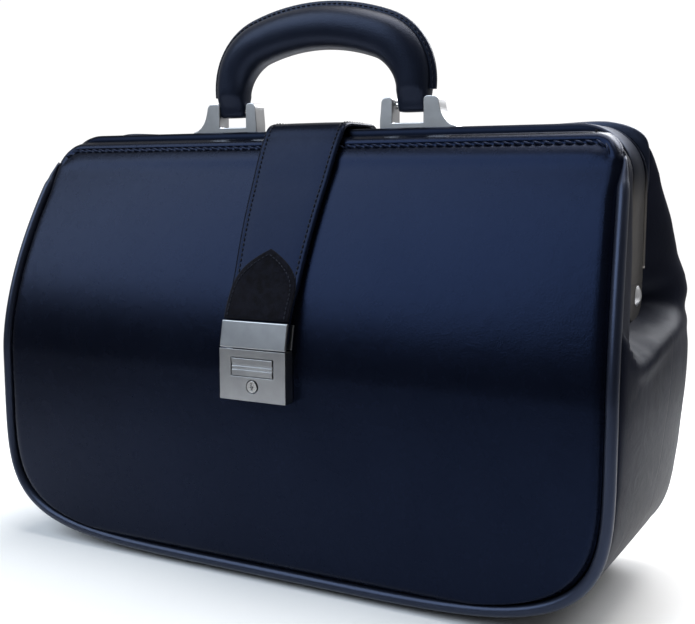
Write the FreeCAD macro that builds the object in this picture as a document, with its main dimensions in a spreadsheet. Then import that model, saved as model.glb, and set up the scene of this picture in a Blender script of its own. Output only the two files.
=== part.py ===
"""Doctor bag: a leather bag on a hinged two-part steel frame, with a strap lock and a swinging handle.

Frame of the model: +X along the bag's length, -Y its front, +Z up, origin on the floor under its centre.
All sizes are millimetres and come from the spreadsheet "dims".
"""
import FreeCAD, Part
import math
import os
import Sketcher

V = FreeCAD.Vector

DIMS = {
    # the two-part frame and its pivots
    "frame_reach": 185.2, "frame_top": 251.3, "front_bow_depth": 27.9, "rear_bow_depth": 4.6,
    "split_gap": 0.3, "frame_bar": 10.0, "frame_corner": 28.0, "pivot_height": 163.9, "leg_foot": 178.4,
    "stem_depth": 8.4, "ear_radius": 12.0, "ear_thick": 4.0, "ear_gap": 0.3,
    "rivet_radius": 3.0, "rivet_play": 0.05, "rivet_head": 5.5, "rivet_dome": 2.0, "clinch_tall": 1.2,
    # the leather body
    "body_reach": 194.4, "shoulder_reach": 186.1, "waist_height": 109.5, "shoulder_height": 235.2,
    "base_height": 3.0, "body_depth": 69.5, "slope_start": 117.6, "frame_face": 16.4, "leather": 3.0,
    "lower_top": 142.0, "upper_foot": 150.5, "upper_top": 246.0, "welt": 6.5, "welt_lower_top": 136.0,
    "gusset_reach": 198.6, "gusset_foot": 12.0, "gusset_top": 148.0, "seam_gap": 0.4,
    "web_inset": 1.0, "web_leather": 2.5, "web_foot": 152.0, "leg_gap": 0.5,
    "pleat_foot": 170.0, "pleat_top": 200.0, "pleat_fold": 145.0, "pleat_leather": 0.5,
    # the base and the end boards
    "base_half": 178.0, "board_lift": 3.6, "board_depth": 116.0,
    "board": 2.5, "end_board_half": 12.0, "end_board_x": 170.4, "foot_radius": 6.5, "foot_shank": 2.0,
    "foot_reach": 105.0, "board_half": 122.0, "foot_spread": 42.0,
    # the strap and its hasp
    "strap_thick": 3.4, "strap_clear": 0.6, "strap_half": 26.0, "strap_bend": 247.0, "strap_end_inset": 0.4,
    "tab_half": 20.6, "tab_foot": 153.9, "tab_spring": 161.9, "tab_top": 185.0, "tab_thick": 1.4,
    "tail_foot": 208.0, "tail_top": 250.6, "tail_rivet_radius": 1.4, "tail_rivet_reach": 17.0,
    "tail_rivet_drop": 2.6, "hasp_half": 21.0, "hasp_foot": 133.1, "hasp_top": 147.9, "hasp_lean": 11.0,
    "hasp_plate": 2.2, "hasp_depth": 6.2, "hasp_back": 1.6, "hasp_rivet_radius": 1.6,
    "hasp_rivet_reach": 13.0, "hasp_rivet_rise": 8.0, "tongue_half": 7.0, "tongue_drop": 3.9,
    # the lock
    "lock_half": 21.0, "lock_foot": 104.5, "lock_top": 132.4, "lock_front": 77.6, "lock_depth": 7.7,
    "lock_wall": 1.4, "button_half": 13.1, "button_foot": 118.2, "button_tall": 9.4, "button_gap": 0.15,
    "button_proud": 0.2, "button_thick": 2.4, "groove_tall": 0.7, "latch_back": 5.0, "latch_thick": 1.4,
    "key_radius": 3.2, "key_height": 112.6, "lock_rivet_radius": 1.3, "lock_rivet_reach": 17.5,
    "lock_rivet_inset": 4.5,
    # the handle and its brackets
    "pin_reach": 58.35, "pin_height": 264.2, "handle_y": -3.1, "slot_half": 9.45, "ear_top": 268.6,
    "slot_floor": 254.2, "bracket_depth": 10.0, "bracket_inner": 41.0, "bracket_outer": 87.5,
    "ear_outer": 76.5, "pin_radius": 2.2, "grip_radius": 11.5, "grip_leg": 60.5, "grip_top": 311.0,
    "grip_crown": 120.0, "grip_shoulder": 30.0, "grip_foot": 273.0,
    "core_radius": 5.0, "eye_radius": 4.6, "eye_gap": 0.4,
}
SLOPE_POWER = 1.667
SIDE_POWER = 1.853
CORNER_POWER = 5.0
CURVE_STEPS = 14
FRONT, REAR = -1, 1
SIDES = {"left": -1, "right": 1}

doc = FreeCAD.newDocument("doctor_bag")
sheet = doc.addObject("Spreadsheet::Sheet", "dims")
for row, (alias, size) in enumerate(DIMS.items(), start=1):
    sheet.set(f"A{row}", alias)
    sheet.set(f"B{row}", str(size))
    sheet.setAlias(f"B{row}", alias)
doc.recompute()
nodes = {}


def dim(alias):
    """The size in a cell, for shapes set in code."""
    return float(sheet.get(alias))


def linked(text):
    """An expression in which every alias is looked up in the sheet."""
    for alias in sorted(DIMS, key=len, reverse=True):
        text = text.replace(alias, f"<{list(DIMS).index(alias)}>")
    for index, alias in enumerate(DIMS):
        text = text.replace(f"<{index}>", f"dims.{alias}")
    return text


def keep(obj, label):
    """Makes an object the sub-part that is written under this label."""
    obj.Label = label
    nodes[label] = obj
    return obj


def place(obj, x, y, z):
    for axis, text in zip("xyz", (x, y, z)):
        obj.setExpression(f"Placement.Base.{axis}", linked(text))


def box(name, low, size):
    """A block from its lowest corner and its size along X, Y and Z, all given as expressions."""
    obj = doc.addObject("Part::Box", name)
    for key, text in zip(("Length", "Width", "Height"), size):
        obj.setExpression(key, linked(text))
    place(obj, *low)
    return obj


def rod(name, start, radius, length, axis):
    """A cylinder from a start point along +X, +Y or +Z."""
    obj = doc.addObject("Part::Cylinder", name)
    turn = {"x": FreeCAD.Rotation(V(0, 1, 0), 90), "y": FreeCAD.Rotation(V(1, 0, 0), -90)}
    obj.Placement = FreeCAD.Placement(V(), turn.get(axis, FreeCAD.Rotation()))
    obj.setExpression("Radius", linked(radius))
    obj.setExpression("Height", linked(length))
    place(obj, *start)
    return obj


def fuse(name, *parts):
    obj = doc.addObject("Part::MultiFuse", name)
    obj.Shapes = list(parts)
    return obj


def cut(name, base, *tools):
    obj = doc.addObject("Part::Cut", name)
    obj.Base = base
    obj.Tool = tools[0] if len(tools) == 1 else fuse(name + "_tools", *tools)
    return obj


def rounded(name, base, radius, chosen):
    """Fillets the edges of base for which chosen(edge) is true."""
    doc.recompute()
    obj = doc.addObject("Part::Fillet", name)
    obj.Base = base
    edges = enumerate(base.Shape.Edges, start=1)
    obj.Edges = [(number, radius, radius) for number, edge in edges if chosen(edge)]
    return obj


def runs_along(edge, axis):
    """Whether an edge is straight and parallel to an axis."""
    if not isinstance(edge.Curve, Part.Line):
        return False
    return abs(abs(edge.tangentAt(edge.FirstParameter).dot(axis)) - 1) < 1e-6


def shaped(label, shape):
    """A sub-part whose shape is worked out in code from the sheet's sizes."""
    obj = doc.addObject("Part::Feature", label + "_shape")
    obj.Shape = shape
    obj.Placement = shape.Placement
    return keep(obj, label)


# ---- the leather body's curved surfaces ----

def depth_at(z):
    """How far the front and rear panels stand from the middle at height z."""
    rise = max(0.0, (z - dim("slope_start")) / (dim("frame_top") - dim("slope_start")))
    return dim("body_depth") - (dim("body_depth") - dim("frame_face")) * rise ** SLOPE_POWER


def reach_at(z, inset=0.0):
    """Half the body's length at height z, less an inset."""
    waist = dim("waist_height")
    reach = dim("body_reach")
    if z >= waist:
        rise = (z - waist) / (dim("shoulder_height") - waist)
        return reach - (reach - dim("shoulder_reach")) * rise ** SIDE_POWER - inset
    drop = (waist - z) / (waist - dim("base_height") - inset)
    return (reach - inset) * max(0.0, 1 - drop ** CORNER_POWER) ** (1 / CORNER_POWER)


def curve(points):
    spline = Part.BSplineCurve()
    spline.interpolate(points)
    return spline.toShape()


def outline_points(inset, top):
    """The right half of the panel's outline, from the middle of the base up to a height."""
    waist = dim("waist_height")
    width = dim("body_reach") - inset
    drop = waist - dim("base_height") - inset
    points = []
    for step in range(1, CURVE_STEPS):
        turn = math.pi / 2 * (1 - step / CURVE_STEPS)
        power = 2 / CORNER_POWER
        points.append(V(width * math.cos(turn) ** power, 0, waist - drop * math.sin(turn) ** power))
    for step in range(CURVE_STEPS + 1):
        z = waist + (top - waist) * step / CURVE_STEPS
        points.append(V(reach_at(z, inset), 0, z))
    return points


def outline_prism(inset, top=260.0, depth=90.0):
    """Everything inside the panel's outline, through the whole depth of the bag."""
    right = outline_points(inset, top)
    left = [V(-p.x, 0, p.z) for p in reversed(right)]
    middle = V(0, 0, dim("base_height") + inset)
    side = curve(left + [middle] + right)
    lid = Part.makeLine(right[-1], left[0])
    face = Part.Face(Part.Wire([side, lid]))
    return face.extrude(V(0, 2 * depth, 0)).translated(V(0, -depth, 0))


def wall_strip(side, foot, top, outset, thick, half_length):
    """A wall that follows the panels' depth between two heights, along the bag's whole length."""
    steps = [foot + (top - foot) * step / CURVE_STEPS for step in range(CURVE_STEPS + 1)]
    outer = [V(-half_length, side * (depth_at(z) + outset), z) for z in steps]
    inner = [V(-half_length, side * (depth_at(z) + outset - thick), z) for z in steps]
    edges = [curve(outer), Part.makeLine(outer[-1], inner[-1]), curve(inner[::-1])]
    edges.append(Part.makeLine(inner[0], outer[0]))
    return Part.Face(Part.Wire(edges)).extrude(V(2 * half_length, 0, 0))


def block(x, y, z):
    """A block between pairs of limits."""
    size = [high - low for low, high in (x, y, z)]
    return Part.makeBox(*size, V(x[0], y[0], z[0]))


BODY_HALF = 210.0
END_START = 60.0
PANEL_INSET = dim("welt") + 0.1


def panel(side, foot, top):
    strip = wall_strip(side, foot, top, 0.0, dim("leather"), BODY_HALF)
    return strip.common(outline_prism(PANEL_INSET))


def welt(side, foot, top):
    strip = wall_strip(side, foot, top, 0.0, dim("welt"), BODY_HALF)
    return strip.common(outline_prism(0.0).cut(outline_prism(dim("welt"))))


def one_end(shape, end):
    """The part of a shape at the left or the right end."""
    limits = sorted((end * END_START, end * BODY_HALF))
    return shape.common(block(limits, (-BODY_HALF, BODY_HALF), (0, 2 * BODY_HALF)))


for name, side in (("front", FRONT), ("rear", REAR)):
    shaped(f"{name}_panel_lower", panel(side, dim("base_height"), dim("lower_top")))
    shaped(f"{name}_panel_upper", panel(side, dim("upper_foot"), dim("upper_top")))
    shaped(f"{name}_welt_lower", welt(side, dim("base_height"), dim("welt_lower_top")))
    upper_welt = welt(side, dim("upper_foot"), dim("shoulder_height"))
    for end_name, end in SIDES.items():
        shaped(f"{name}_welt_upper_{end_name}", one_end(upper_welt, end))


# ---- gussets ----

WEB_HEIGHTS = (190.0, 210.0, 228.0)
LOW_HEIGHTS = (22.0, 40.0, 62.0)
BULGES = ((1.2, 95.0), (0.3, 120.0))


def upper_web(side, end):
    """The end leather between one frame leg and its panel, which swings with that frame."""
    ring = outline_prism(dim("web_inset")).cut(outline_prism(dim("web_inset") + dim("web_leather")))
    leg_side = dim("frame_face") + dim("leg_gap")
    steps = [dim("web_foot"), dim("pivot_height"), *WEB_HEIGHTS]
    outer = [V(0, side * (depth_at(z) - dim("welt") - 0.2), z) for z in steps]
    corners = [V(0, side * leg_side, steps[-1]), V(0, side * leg_side, steps[0])]
    edges = [curve(outer), Part.makeLine(outer[-1], corners[0])]
    edges += [Part.makeLine(corners[0], corners[1]), Part.makeLine(corners[1], outer[0])]
    region = Part.Face(Part.Wire(edges)).extrude(V(end * BODY_HALF, 0, 0))
    return ring.common(region)


def gusset_points(inset):
    """The lower gusset's outline from under the bag's corner up to its top edge, bulging outwards."""
    low = [V(reach_at(z, inset), 0, z) for z in (dim("gusset_foot"), *LOW_HEIGHTS)]
    bulge = dim("gusset_reach") - inset
    high = [V(bulge - short, 0, z) for short, z in BULGES]
    return low + high + [V(bulge, 0, dim("gusset_top"))]


def strip_half():
    """Half the depth of the base and the gussets, which lie between the two welts."""
    return dim("body_depth") - dim("welt") - dim("seam_gap")


def lower_gusset(end):
    outer = gusset_points(1.0)
    inner = gusset_points(dim("leather") + 1.0)
    edges = [curve(outer), Part.makeLine(outer[-1], inner[-1]), curve(inner[::-1])]
    edges.append(Part.makeLine(inner[0], outer[0]))
    half = strip_half()
    strip = Part.Face(Part.Wire(edges)).extrude(V(0, 2 * half, 0)).translated(V(0, -half, 0))
    return strip if end > 0 else strip.mirror(V(), V(1, 0, 0))


def pleat(end):
    """The inward fold of the gusset between the two frame legs."""
    thick = dim("pleat_leather")
    rim = dim("end_board_x") - dim("board") - dim("seam_gap")
    spots = ((rim, "pleat_foot"), (rim, "pleat_top"), (dim("pleat_fold"), "pleat_top"))
    corners = [V(end * x, -thick / 2, dim(z)) for x, z in spots]
    return Part.Face(Part.makePolygon(corners + corners[:1])).extrude(V(0, thick, 0))


for end_name, end in SIDES.items():
    shaped(f"{end_name}_gusset_lower", lower_gusset(end))
    shaped(f"{end_name}_pleat", pleat(end))
    shaped(f"front_gusset_{end_name}", upper_web(FRONT, end))
    shaped(f"rear_gusset_{end_name}", upper_web(REAR, end))


# ---- base ----

def base_leather():
    ring = outline_prism(1.0).cut(outline_prism(1.0 + dim("leather")))
    reach, half = dim("base_half"), strip_half()
    return ring.common(block((-reach, reach), (-half, half), (0, dim("gusset_foot") - 0.1)))


BOARD_CORNER = 12.0
BOARD_FOOT = "base_height + leather + board_lift"
board_blank = box("base_board_blank", ("-board_half", "-board_depth / 2", BOARD_FOOT),
                  ("2 * board_half", "board_depth", "board"))


def along_z(edge):
    return runs_along(edge, V(0, 0, 1))


keep(rounded("base_board_round", board_blank, BOARD_CORNER, along_z), "base_board")

FEET = [(0.0, 0.0)]
FEET += [(x * dim("foot_reach"), y * dim("foot_spread")) for x in (-1, 1) for y in (-1, 1)]


def foot(x, y):
    """A domed stud with its shank, turned about its own axis. Its flat crown stands on the floor."""
    drop = dim("waist_height") - dim("base_height")
    share = abs(x) / dim("body_reach")
    under = dim("waist_height") - drop * (1 - share ** CORNER_POWER) ** (1 / CORNER_POWER)
    rim, shank = dim("foot_radius"), dim("foot_shank")
    crown, lip, knee, clinch_out, clinch_tall = rim - 1.8, 0.4, 1.0, 1.8, 0.8
    start, end = V(0, 0, 0), V(0, 0, under)
    arc = Part.Arc(V(crown, 0, 0), V(rim - lip, 0, knee), V(rim, 0, under - lip))
    edges = [
        Part.makeLine(start, V(crown, 0, 0)),
        arc.toShape(),
        Part.makeLine(V(rim, 0, under - lip), V(rim, 0, under)),
        Part.makeLine(V(rim, 0, under), end),
        Part.makeLine(end, start),
    ]
    head = Part.Face(Part.Wire(edges)).revolve(start, V(0, 0, 1), 360)
    board_top = dim("base_height") + dim("leather") + dim("board_lift") + dim("board")
    stem = Part.makeCylinder(shank, board_top + dim("clinch_tall") - under, V(0, 0, under))
    clinch = Part.makeCylinder(shank + clinch_out, clinch_tall, V(0, 0, board_top + 0.3))
    return head.fuse([stem, clinch]).removeSplitter().translated(V(x, y, 0))


def foot_holes():
    holes = [Part.makeCylinder(dim("foot_shank"), 30, V(x, y, -1)) for x, y in FEET]
    return Part.makeCompound(holes)


shaped("base_studs", Part.makeCompound([foot(x, y) for x, y in FEET]))
shaped("base_leather", base_leather().cut(foot_holes()))
board_round = nodes["base_board"]
board_round.Label = "base_board_round"
board_hole_tool = doc.addObject("Part::Feature", "base_board_holes")
board_hole_tool.Shape = foot_holes()
keep(cut("base_board_cut", board_round, board_hole_tool), "base_board")


# ---- the steel frame halves, each with one pivot ear at each end ----

def necks(tag, side, low):
    """The flat stems that join an ear to its leg, clear of the other half's leg."""
    if side == FRONT:
        return [box(f"{tag}_neck", (low, "-ear_radius", "pivot_height"),
                    ("ear_thick", "ear_radius - split_gap", "leg_foot - pivot_height + 1"))]
    stem = box(f"{tag}_stem", (low, "frame_face - stem_depth", "pivot_height"),
               ("ear_thick", "stem_depth", "leg_foot - pivot_height - 0.4"))
    neck = box(f"{tag}_neck", (low, "frame_face - rear_bow_depth", "leg_foot - 1"),
               ("ear_thick", "rear_bow_depth", "2"))
    return [stem, neck]


def frame_half(name, side):
    """A U-shaped half: its top bar, two legs, and flat ears that lap on the pivot rivets."""
    front, depth = ("-frame_face", "front_bow_depth")
    if side == REAR:
        front, depth = ("frame_face - rear_bow_depth", "rear_bow_depth")
    outer = box(f"{name}_outer", ("-frame_reach", front, "leg_foot"),
                ("2 * frame_reach", depth, "frame_top - leg_foot"))
    outer_round = rounded(f"{name}_outer_round", outer, dim("frame_corner"), upper_corner)
    inner = box(f"{name}_inner", ("frame_bar - frame_reach", front, "leg_foot - 1"),
                ("2 * (frame_reach - frame_bar)", depth, "frame_top - frame_bar - leg_foot + 1"))
    inner_round = rounded(f"{name}_inner_round", inner, dim("frame_corner") - dim("frame_bar"), upper_corner)
    pieces = [cut(f"{name}_bow", outer_round, inner_round)]
    holes = []
    layer = "0" if side == FRONT else "ear_thick + ear_gap"
    for end_name, end in SIDES.items():
        low = f"frame_reach - ear_thick - ({layer})" if end > 0 else f"-frame_reach + {layer}"
        tag = f"{name}_{end_name}"
        pieces.append(rod(f"{tag}_ear", (low, "0", "pivot_height"), "ear_radius", "ear_thick", "x"))
        pieces += necks(tag, side, low)
        holes.append(rod(f"{tag}_hole", (low + " - 1", "0", "pivot_height"),
                         "rivet_radius + rivet_play", "ear_thick + 2", "x"))
    keep(cut(f"{name}_cut", fuse(f"{name}_fused", *pieces), *holes), name)


def upper_corner(edge):
    """Whether an edge of a block is one of the two that run along Y at its top."""
    if not runs_along(edge, V(0, 1, 0)):
        return False
    return edge.Vertexes[0].Z > dim("frame_top") - dim("frame_bar") - 1


frame_half("front_frame", FRONT)
frame_half("rear_frame", REAR)


# ---- pivot rivets and the end boards that carry them ----

def pivot_rivet(end):
    """A domed head, a shank through both ears and the end board, and a clinched tail."""
    reach = dim("frame_reach") + 0.1
    radius = dim("rivet_radius")
    head = dim("rivet_head")
    board = dim("end_board_x")
    tail = board - dim("board") - dim("rivet_play")
    overlap, clinch_out = 0.5, 1.6
    crown = reach + dim("rivet_dome")
    bow = (head ** 2 + dim("rivet_dome") ** 2) / (2 * dim("rivet_dome"))
    ball = Part.makeSphere(bow, V(crown - bow, 0, 0), V(1, 0, 0))
    cap = ball.common(Part.makeCylinder(head + 1, bow, V(reach, 0, 0), V(1, 0, 0)))
    shank = Part.makeCylinder(radius, reach - tail + overlap, V(tail - overlap, 0, 0), V(1, 0, 0))
    clinch = Part.makeCylinder(radius + clinch_out, dim("clinch_tall"), V(tail - dim("clinch_tall"), 0, 0),
                               V(1, 0, 0))
    rivet = cap.fuse([shank, clinch]).removeSplitter().translated(V(0, 0, dim("pivot_height")))
    return rivet if end > 0 else rivet.mirror(V(), V(1, 0, 0))


shaped("pivot_rivets", Part.makeCompound([pivot_rivet(end) for end in (-1, 1)]))

for end_name, end in SIDES.items():
    low = "end_board_x - board" if end > 0 else "-end_board_x"
    tall = box(f"{end_name}_board_tall", (low, "-end_board_half", "30"),
               ("board", "2 * end_board_half", "pivot_height - 30"))
    head = rod(f"{end_name}_board_head", (low, "0", "pivot_height"), "end_board_half", "board", "x")
    hole = rod(f"{end_name}_board_hole", (low + " - 1", "0", "pivot_height"), "rivet_radius", "board + 2", "x")
    blank = fuse(f"{end_name}_board_blank", tall, head)
    keep(cut(f"{end_name}_board_cut", blank, hole), f"{end_name}_end_board")


# ---- the strap, its suede tab and its tail ----

PRISM_FRONT, PRISM_DEPTH = -120.0, 160.0
ARCH_OUT, ARCH_UP = 0.72, 0.62


def taper_prism(foot, top, low_half, high_half, point=0.0):
    """A tapering outline in X and Z, through the bag's front; a point adds a gothic arch above its top."""
    low_left, low_right = V(-low_half, PRISM_FRONT, foot), V(low_half, PRISM_FRONT, foot)
    right, left = V(high_half, PRISM_FRONT, top), V(-high_half, PRISM_FRONT, top)
    edges = [Part.makeLine(low_left, low_right), Part.makeLine(low_right, right)]
    if point:
        peak = V(0, PRISM_FRONT, top + point)
        bow_right = V(high_half * ARCH_OUT, PRISM_FRONT, top + point * ARCH_UP)
        bow_left = V(-high_half * ARCH_OUT, PRISM_FRONT, top + point * ARCH_UP)
        edges.append(Part.Arc(right, bow_right, peak).toShape())
        edges.append(Part.Arc(peak, bow_left, left).toShape())
    else:
        edges.append(Part.makeLine(right, left))
    edges.append(Part.makeLine(left, low_left))
    return Part.Face(Part.Wire(edges)).extrude(V(0, PRISM_DEPTH, 0))


def hasp_place():
    """The hasp's place: it leans back, with the panel, about the foot of its front plate."""
    turn = FreeCAD.Rotation(V(1, 0, 0), -dim("hasp_lean"))
    return FreeCAD.Placement(V(0, -dim("lock_front"), dim("hasp_foot")), turn)


def strap():
    """One leather strip from the rear edge of the frame over its top and down the front panel."""
    thick = dim("strap_thick")
    clear = dim("strap_clear")
    half = dim("strap_half")
    bend = dim("strap_bend")
    leg = wall_strip(FRONT, dim("hasp_top") + 0.5, bend, clear + thick, thick, half)
    face = depth_at(bend)
    under = dim("frame_top") + clear
    over = under + thick
    rear = dim("frame_face") + clear
    spots = [(-face - clear, bend), (-dim("frame_face") - dim("leg_gap"), under), (rear, under), (rear, over),
             (1 - dim("frame_face"), over), (-face - clear - thick, bend)]
    corners = [V(-half, y, z) for y, z in spots]
    top = Part.Face(Part.makePolygon(corners + corners[:1])).extrude(V(2 * half, 0, 0))
    low_half = dim("hasp_half") - dim("strap_end_inset")
    outline = taper_prism(dim("hasp_top"), over + 1, low_half, half)
    behind_plate, above_foot, above_hasp = dim("hasp_plate") + 0.3, 1.0, 5.4
    tall = dim("hasp_top") - dim("hasp_foot") - above_foot + above_hasp
    end = Part.makeBox(2 * low_half, thick, tall, V(-low_half, behind_plate, above_foot))
    end.Placement = hasp_place()
    return leg.fuse(top).common(outline).fuse(end)


def strap_tab():
    outset = dim("strap_clear") + dim("strap_thick") + 0.1 + dim("tab_thick")
    foot, spring, half = dim("tab_foot"), dim("tab_spring"), dim("tab_half")
    strip = wall_strip(FRONT, foot, dim("tab_top"), outset, dim("tab_thick"), 2 * half)
    return strip.common(taper_prism(foot, spring, half, half, dim("tab_top") - spring))


shaped("strap", strap())
shaped("strap_tab", strap_tab())
shaped("strap_tail", wall_strip(REAR, dim("tail_foot"), dim("tail_top"), dim("strap_thick") + 0.2,
                                dim("strap_thick"), dim("strap_half")))


# ---- the hasp, a leather sandwich between two plates, leaning with the panel ----

def lean(obj):
    """Leans a piece that is drawn upright back into the hasp's place."""
    upright = FreeCAD.Placement(V(0, dim("lock_front"), -dim("hasp_foot")), FreeCAD.Rotation())
    obj.Placement = hasp_place().multiply(upright).multiply(obj.Placement)


def value_of(text):
    """An expression's value now, for the first guess of a sketch's points."""
    parts = text.replace("+", " + ").replace("-", " - ").split()
    total, sign = 0.0, 1
    for part in parts:
        if part in "+-":
            sign = 1 if part == "+" else -1
        else:
            total += sign * (dim(part) if part in DIMS else float(part))
    return total


def padded_outline(name, corners, front, thick, end=1):
    """A sketched outline in X and Z, padded along +Y from its front face; end -1 mirrors it to the left."""
    body = doc.addObject("PartDesign::Body", name)
    plane = next(f for f in body.Origin.OriginFeatures if f.Role == "XZ_Plane")
    sketch = body.newObject("Sketcher::SketchObject", name + "_sketch")
    sketch.AttachmentSupport = [(plane, "")]
    sketch.MapMode = "FlatFace"
    sketch.setExpression("AttachmentOffset.Base.z", linked(front))
    count = len(corners)
    sign = "" if end > 0 else "-"
    spots = [V(end * value_of(x), value_of(z), 0) for x, z in corners]
    for index, spot in enumerate(spots):
        sketch.addGeometry(Part.LineSegment(spot, spots[(index + 1) % count]), False)
    for index in range(count):
        sketch.addConstraint(Sketcher.Constraint("Coincident", index, 2, (index + 1) % count, 1))
    for index, (x, z) in enumerate(corners):
        across = sketch.addConstraint(Sketcher.Constraint("DistanceX", -1, 1, index, 1, spots[index].x))
        sketch.setExpression(f"Constraints[{across}]", linked(f"{sign}({x})"))
        upward = sketch.addConstraint(Sketcher.Constraint("DistanceY", -1, 1, index, 1, spots[index].y))
        sketch.setExpression(f"Constraints[{upward}]", linked(z))
    pad = body.newObject("PartDesign::Pad", name + "_pad")
    pad.Profile = sketch
    pad.Reversed = True
    pad.setExpression("Length", linked(thick))
    body.Tip = pad
    doc.recompute()
    return body


def plate(name, foot, front, thick):
    """A hasp plate from a height up to the hasp's top."""
    corners = [("-hasp_half", foot), ("hasp_half", foot)]
    corners += [("hasp_half", "hasp_top"), ("-hasp_half", "hasp_top")]
    return padded_outline(name, corners, front, thick)


hasp_front = keep(plate("hasp_front", "hasp_foot", "lock_front", "hasp_plate"), "hasp_front_plate")
hasp_back_blank = plate("hasp_back", "hasp_foot + 1.3", "lock_front - hasp_depth", "hasp_back")
tongue = box("hasp_tongue", ("-tongue_half", "-lock_front + 6", "hasp_foot - tongue_drop"),
             ("2 * tongue_half", "1.3", "6"))


def hasp_rods(name, length):
    """A pair of rods through the hasp: its rivets, or the tools for their holes."""
    y, z = "-lock_front + hasp_plate", "hasp_foot + hasp_rivet_rise"
    return fuse(name, *[
        rod(f"{name}_{hand}", (f"{hand} * hasp_rivet_reach", y, z), "hasp_rivet_radius", length, "y")
        for hand in (-1, 1)
    ])


hasp_rivets = hasp_rods("hasp_rivet", "5.7")
rivet_holes = hasp_rods("hasp_hole", "9")
hasp_back = keep(cut("hasp_back_cut", fuse("hasp_back_fused", hasp_back_blank, tongue), rivet_holes),
                 "hasp_back_plate")
keep(hasp_rivets, "hasp_rivets")


# ---- the lock ----

case_front = "-lock_front"
case = box("lock_case_blank", ("-lock_half", case_front, "lock_foot"),
           ("2 * lock_half", "lock_depth", "lock_top - lock_foot"))
hollow = box("lock_hollow", ("lock_wall - lock_half", "-lock_front + lock_wall", "lock_foot + lock_wall"),
             ("2 * (lock_half - lock_wall)", "lock_depth", "lock_top - lock_foot - 2 * lock_wall"))
slot = box("lock_slot", ("-7.8", "-lock_front + lock_wall", "lock_top - 3"),
           ("15.6", "lock_depth - lock_wall - 0.4", "5"))
window = box("lock_window", ("-button_half - button_gap", "-lock_front - 1", "button_foot - button_gap"),
             ("2 * (button_half + button_gap)", "5", "button_tall + 2 * button_gap"))
keyway = rod("lock_keyway", ("0", "-lock_front - 1", "key_height"), "key_radius + rivet_play", "5", "y")
keep(cut("lock_case_cut", case, hollow, slot, window, keyway), "lock_case")

button_block = box("button_block", ("-button_half", "-lock_front - button_proud", "button_foot"),
                   ("2 * button_half", "button_thick", "button_tall"))
button_grooves = [
    box(f"button_groove_{index}", ("-button_half - 1", "-lock_front - 1", f"button_foot + {offset}"),
        ("2 * button_half + 2", "1.2", "groove_tall"))
    for index, offset in enumerate(("3.9", "4.9"))
]
button_stem = box("button_stem", ("-4", "-lock_front + 2.2", "button_foot + 2"), ("8", "1.2", "5"))
keep(cut("button_cut", fuse("button_fused", button_block, button_stem), *button_grooves), "lock_button")

latch_bar = box("latch_bar", ("4.6", "-lock_front + latch_back", "button_foot + 2.5"),
                ("9", "latch_thick", "4"))
latch_nose = box("latch_nose", ("9.6", "-lock_front + latch_back", "button_foot + 6"),
                 ("4", "latch_thick", "6.2"))
keep(fuse("latch_fused", latch_bar, latch_nose), "latch_bolt")

key_front = "-lock_front - 0.25"
key_plug = rod("key_plug", ("0", key_front, "key_height"), "key_radius", "4.6", "y")
key_slit = box("key_slit", ("-0.45", "-lock_front - 1", "key_height - 2"), ("0.9", "3.4", "4"))
keep(cut("key_cut", key_plug, key_slit), "key_cylinder")

lock_plate_front = "-lock_front + lock_depth + leather + 1.7"
keep(box("lock_back_blank", ("-lock_half + 2", lock_plate_front, "lock_foot + 2"),
         ("2 * lock_half - 4", "1.2", "lock_top - lock_foot - 4")), "lock_back_plate")


# ---- the handle's brackets ----

def bracket(end_name, end):
    """A clevis: a foot on the front frame half, and two ears that hold the handle's pin along X."""
    corners = [("bracket_inner", "frame_top"), ("bracket_outer", "frame_top"),
               ("bracket_outer", "slot_floor - 1.2"), ("ear_outer + 5", "slot_floor + 2.2"),
               ("ear_outer + 1.6", "slot_floor + 7"), ("ear_outer - 1.5", "ear_top"),
               ("pin_reach + slot_half", "ear_top"), ("pin_reach + slot_half", "slot_floor"),
               ("pin_reach - slot_half", "slot_floor"), ("pin_reach - slot_half", "ear_top"),
               ("bracket_inner + 1", "ear_top")]
    body = padded_outline(f"{end_name}_bracket", corners, "bracket_depth / 2 - handle_y", "bracket_depth", end)
    start = "pin_reach - slot_half - 6" if end > 0 else "-pin_reach - slot_half - 6"
    hole = rod(f"{end_name}_bracket_hole", (start, "handle_y", "pin_height"), "pin_radius",
               "2 * slot_half + 12", "x")
    keep(cut(f"{end_name}_bracket_cut", body, hole), f"{end_name}_handle_bracket")


for end_name, end in SIDES.items():
    bracket(end_name, end)

pin_rods = []
for end_name, end in SIDES.items():
    start = "pin_reach - slot_half - 5.9" if end > 0 else "-pin_reach - slot_half - 5.9"
    pin_rods.append(rod(f"{end_name}_pin_rod", (start, "handle_y", "pin_height"), "pin_radius",
                        "2 * slot_half + 11.8", "x"))
keep(fuse("handle_pin_pair", *pin_rods), "handle_pins")


# ---- the handle ----

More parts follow.
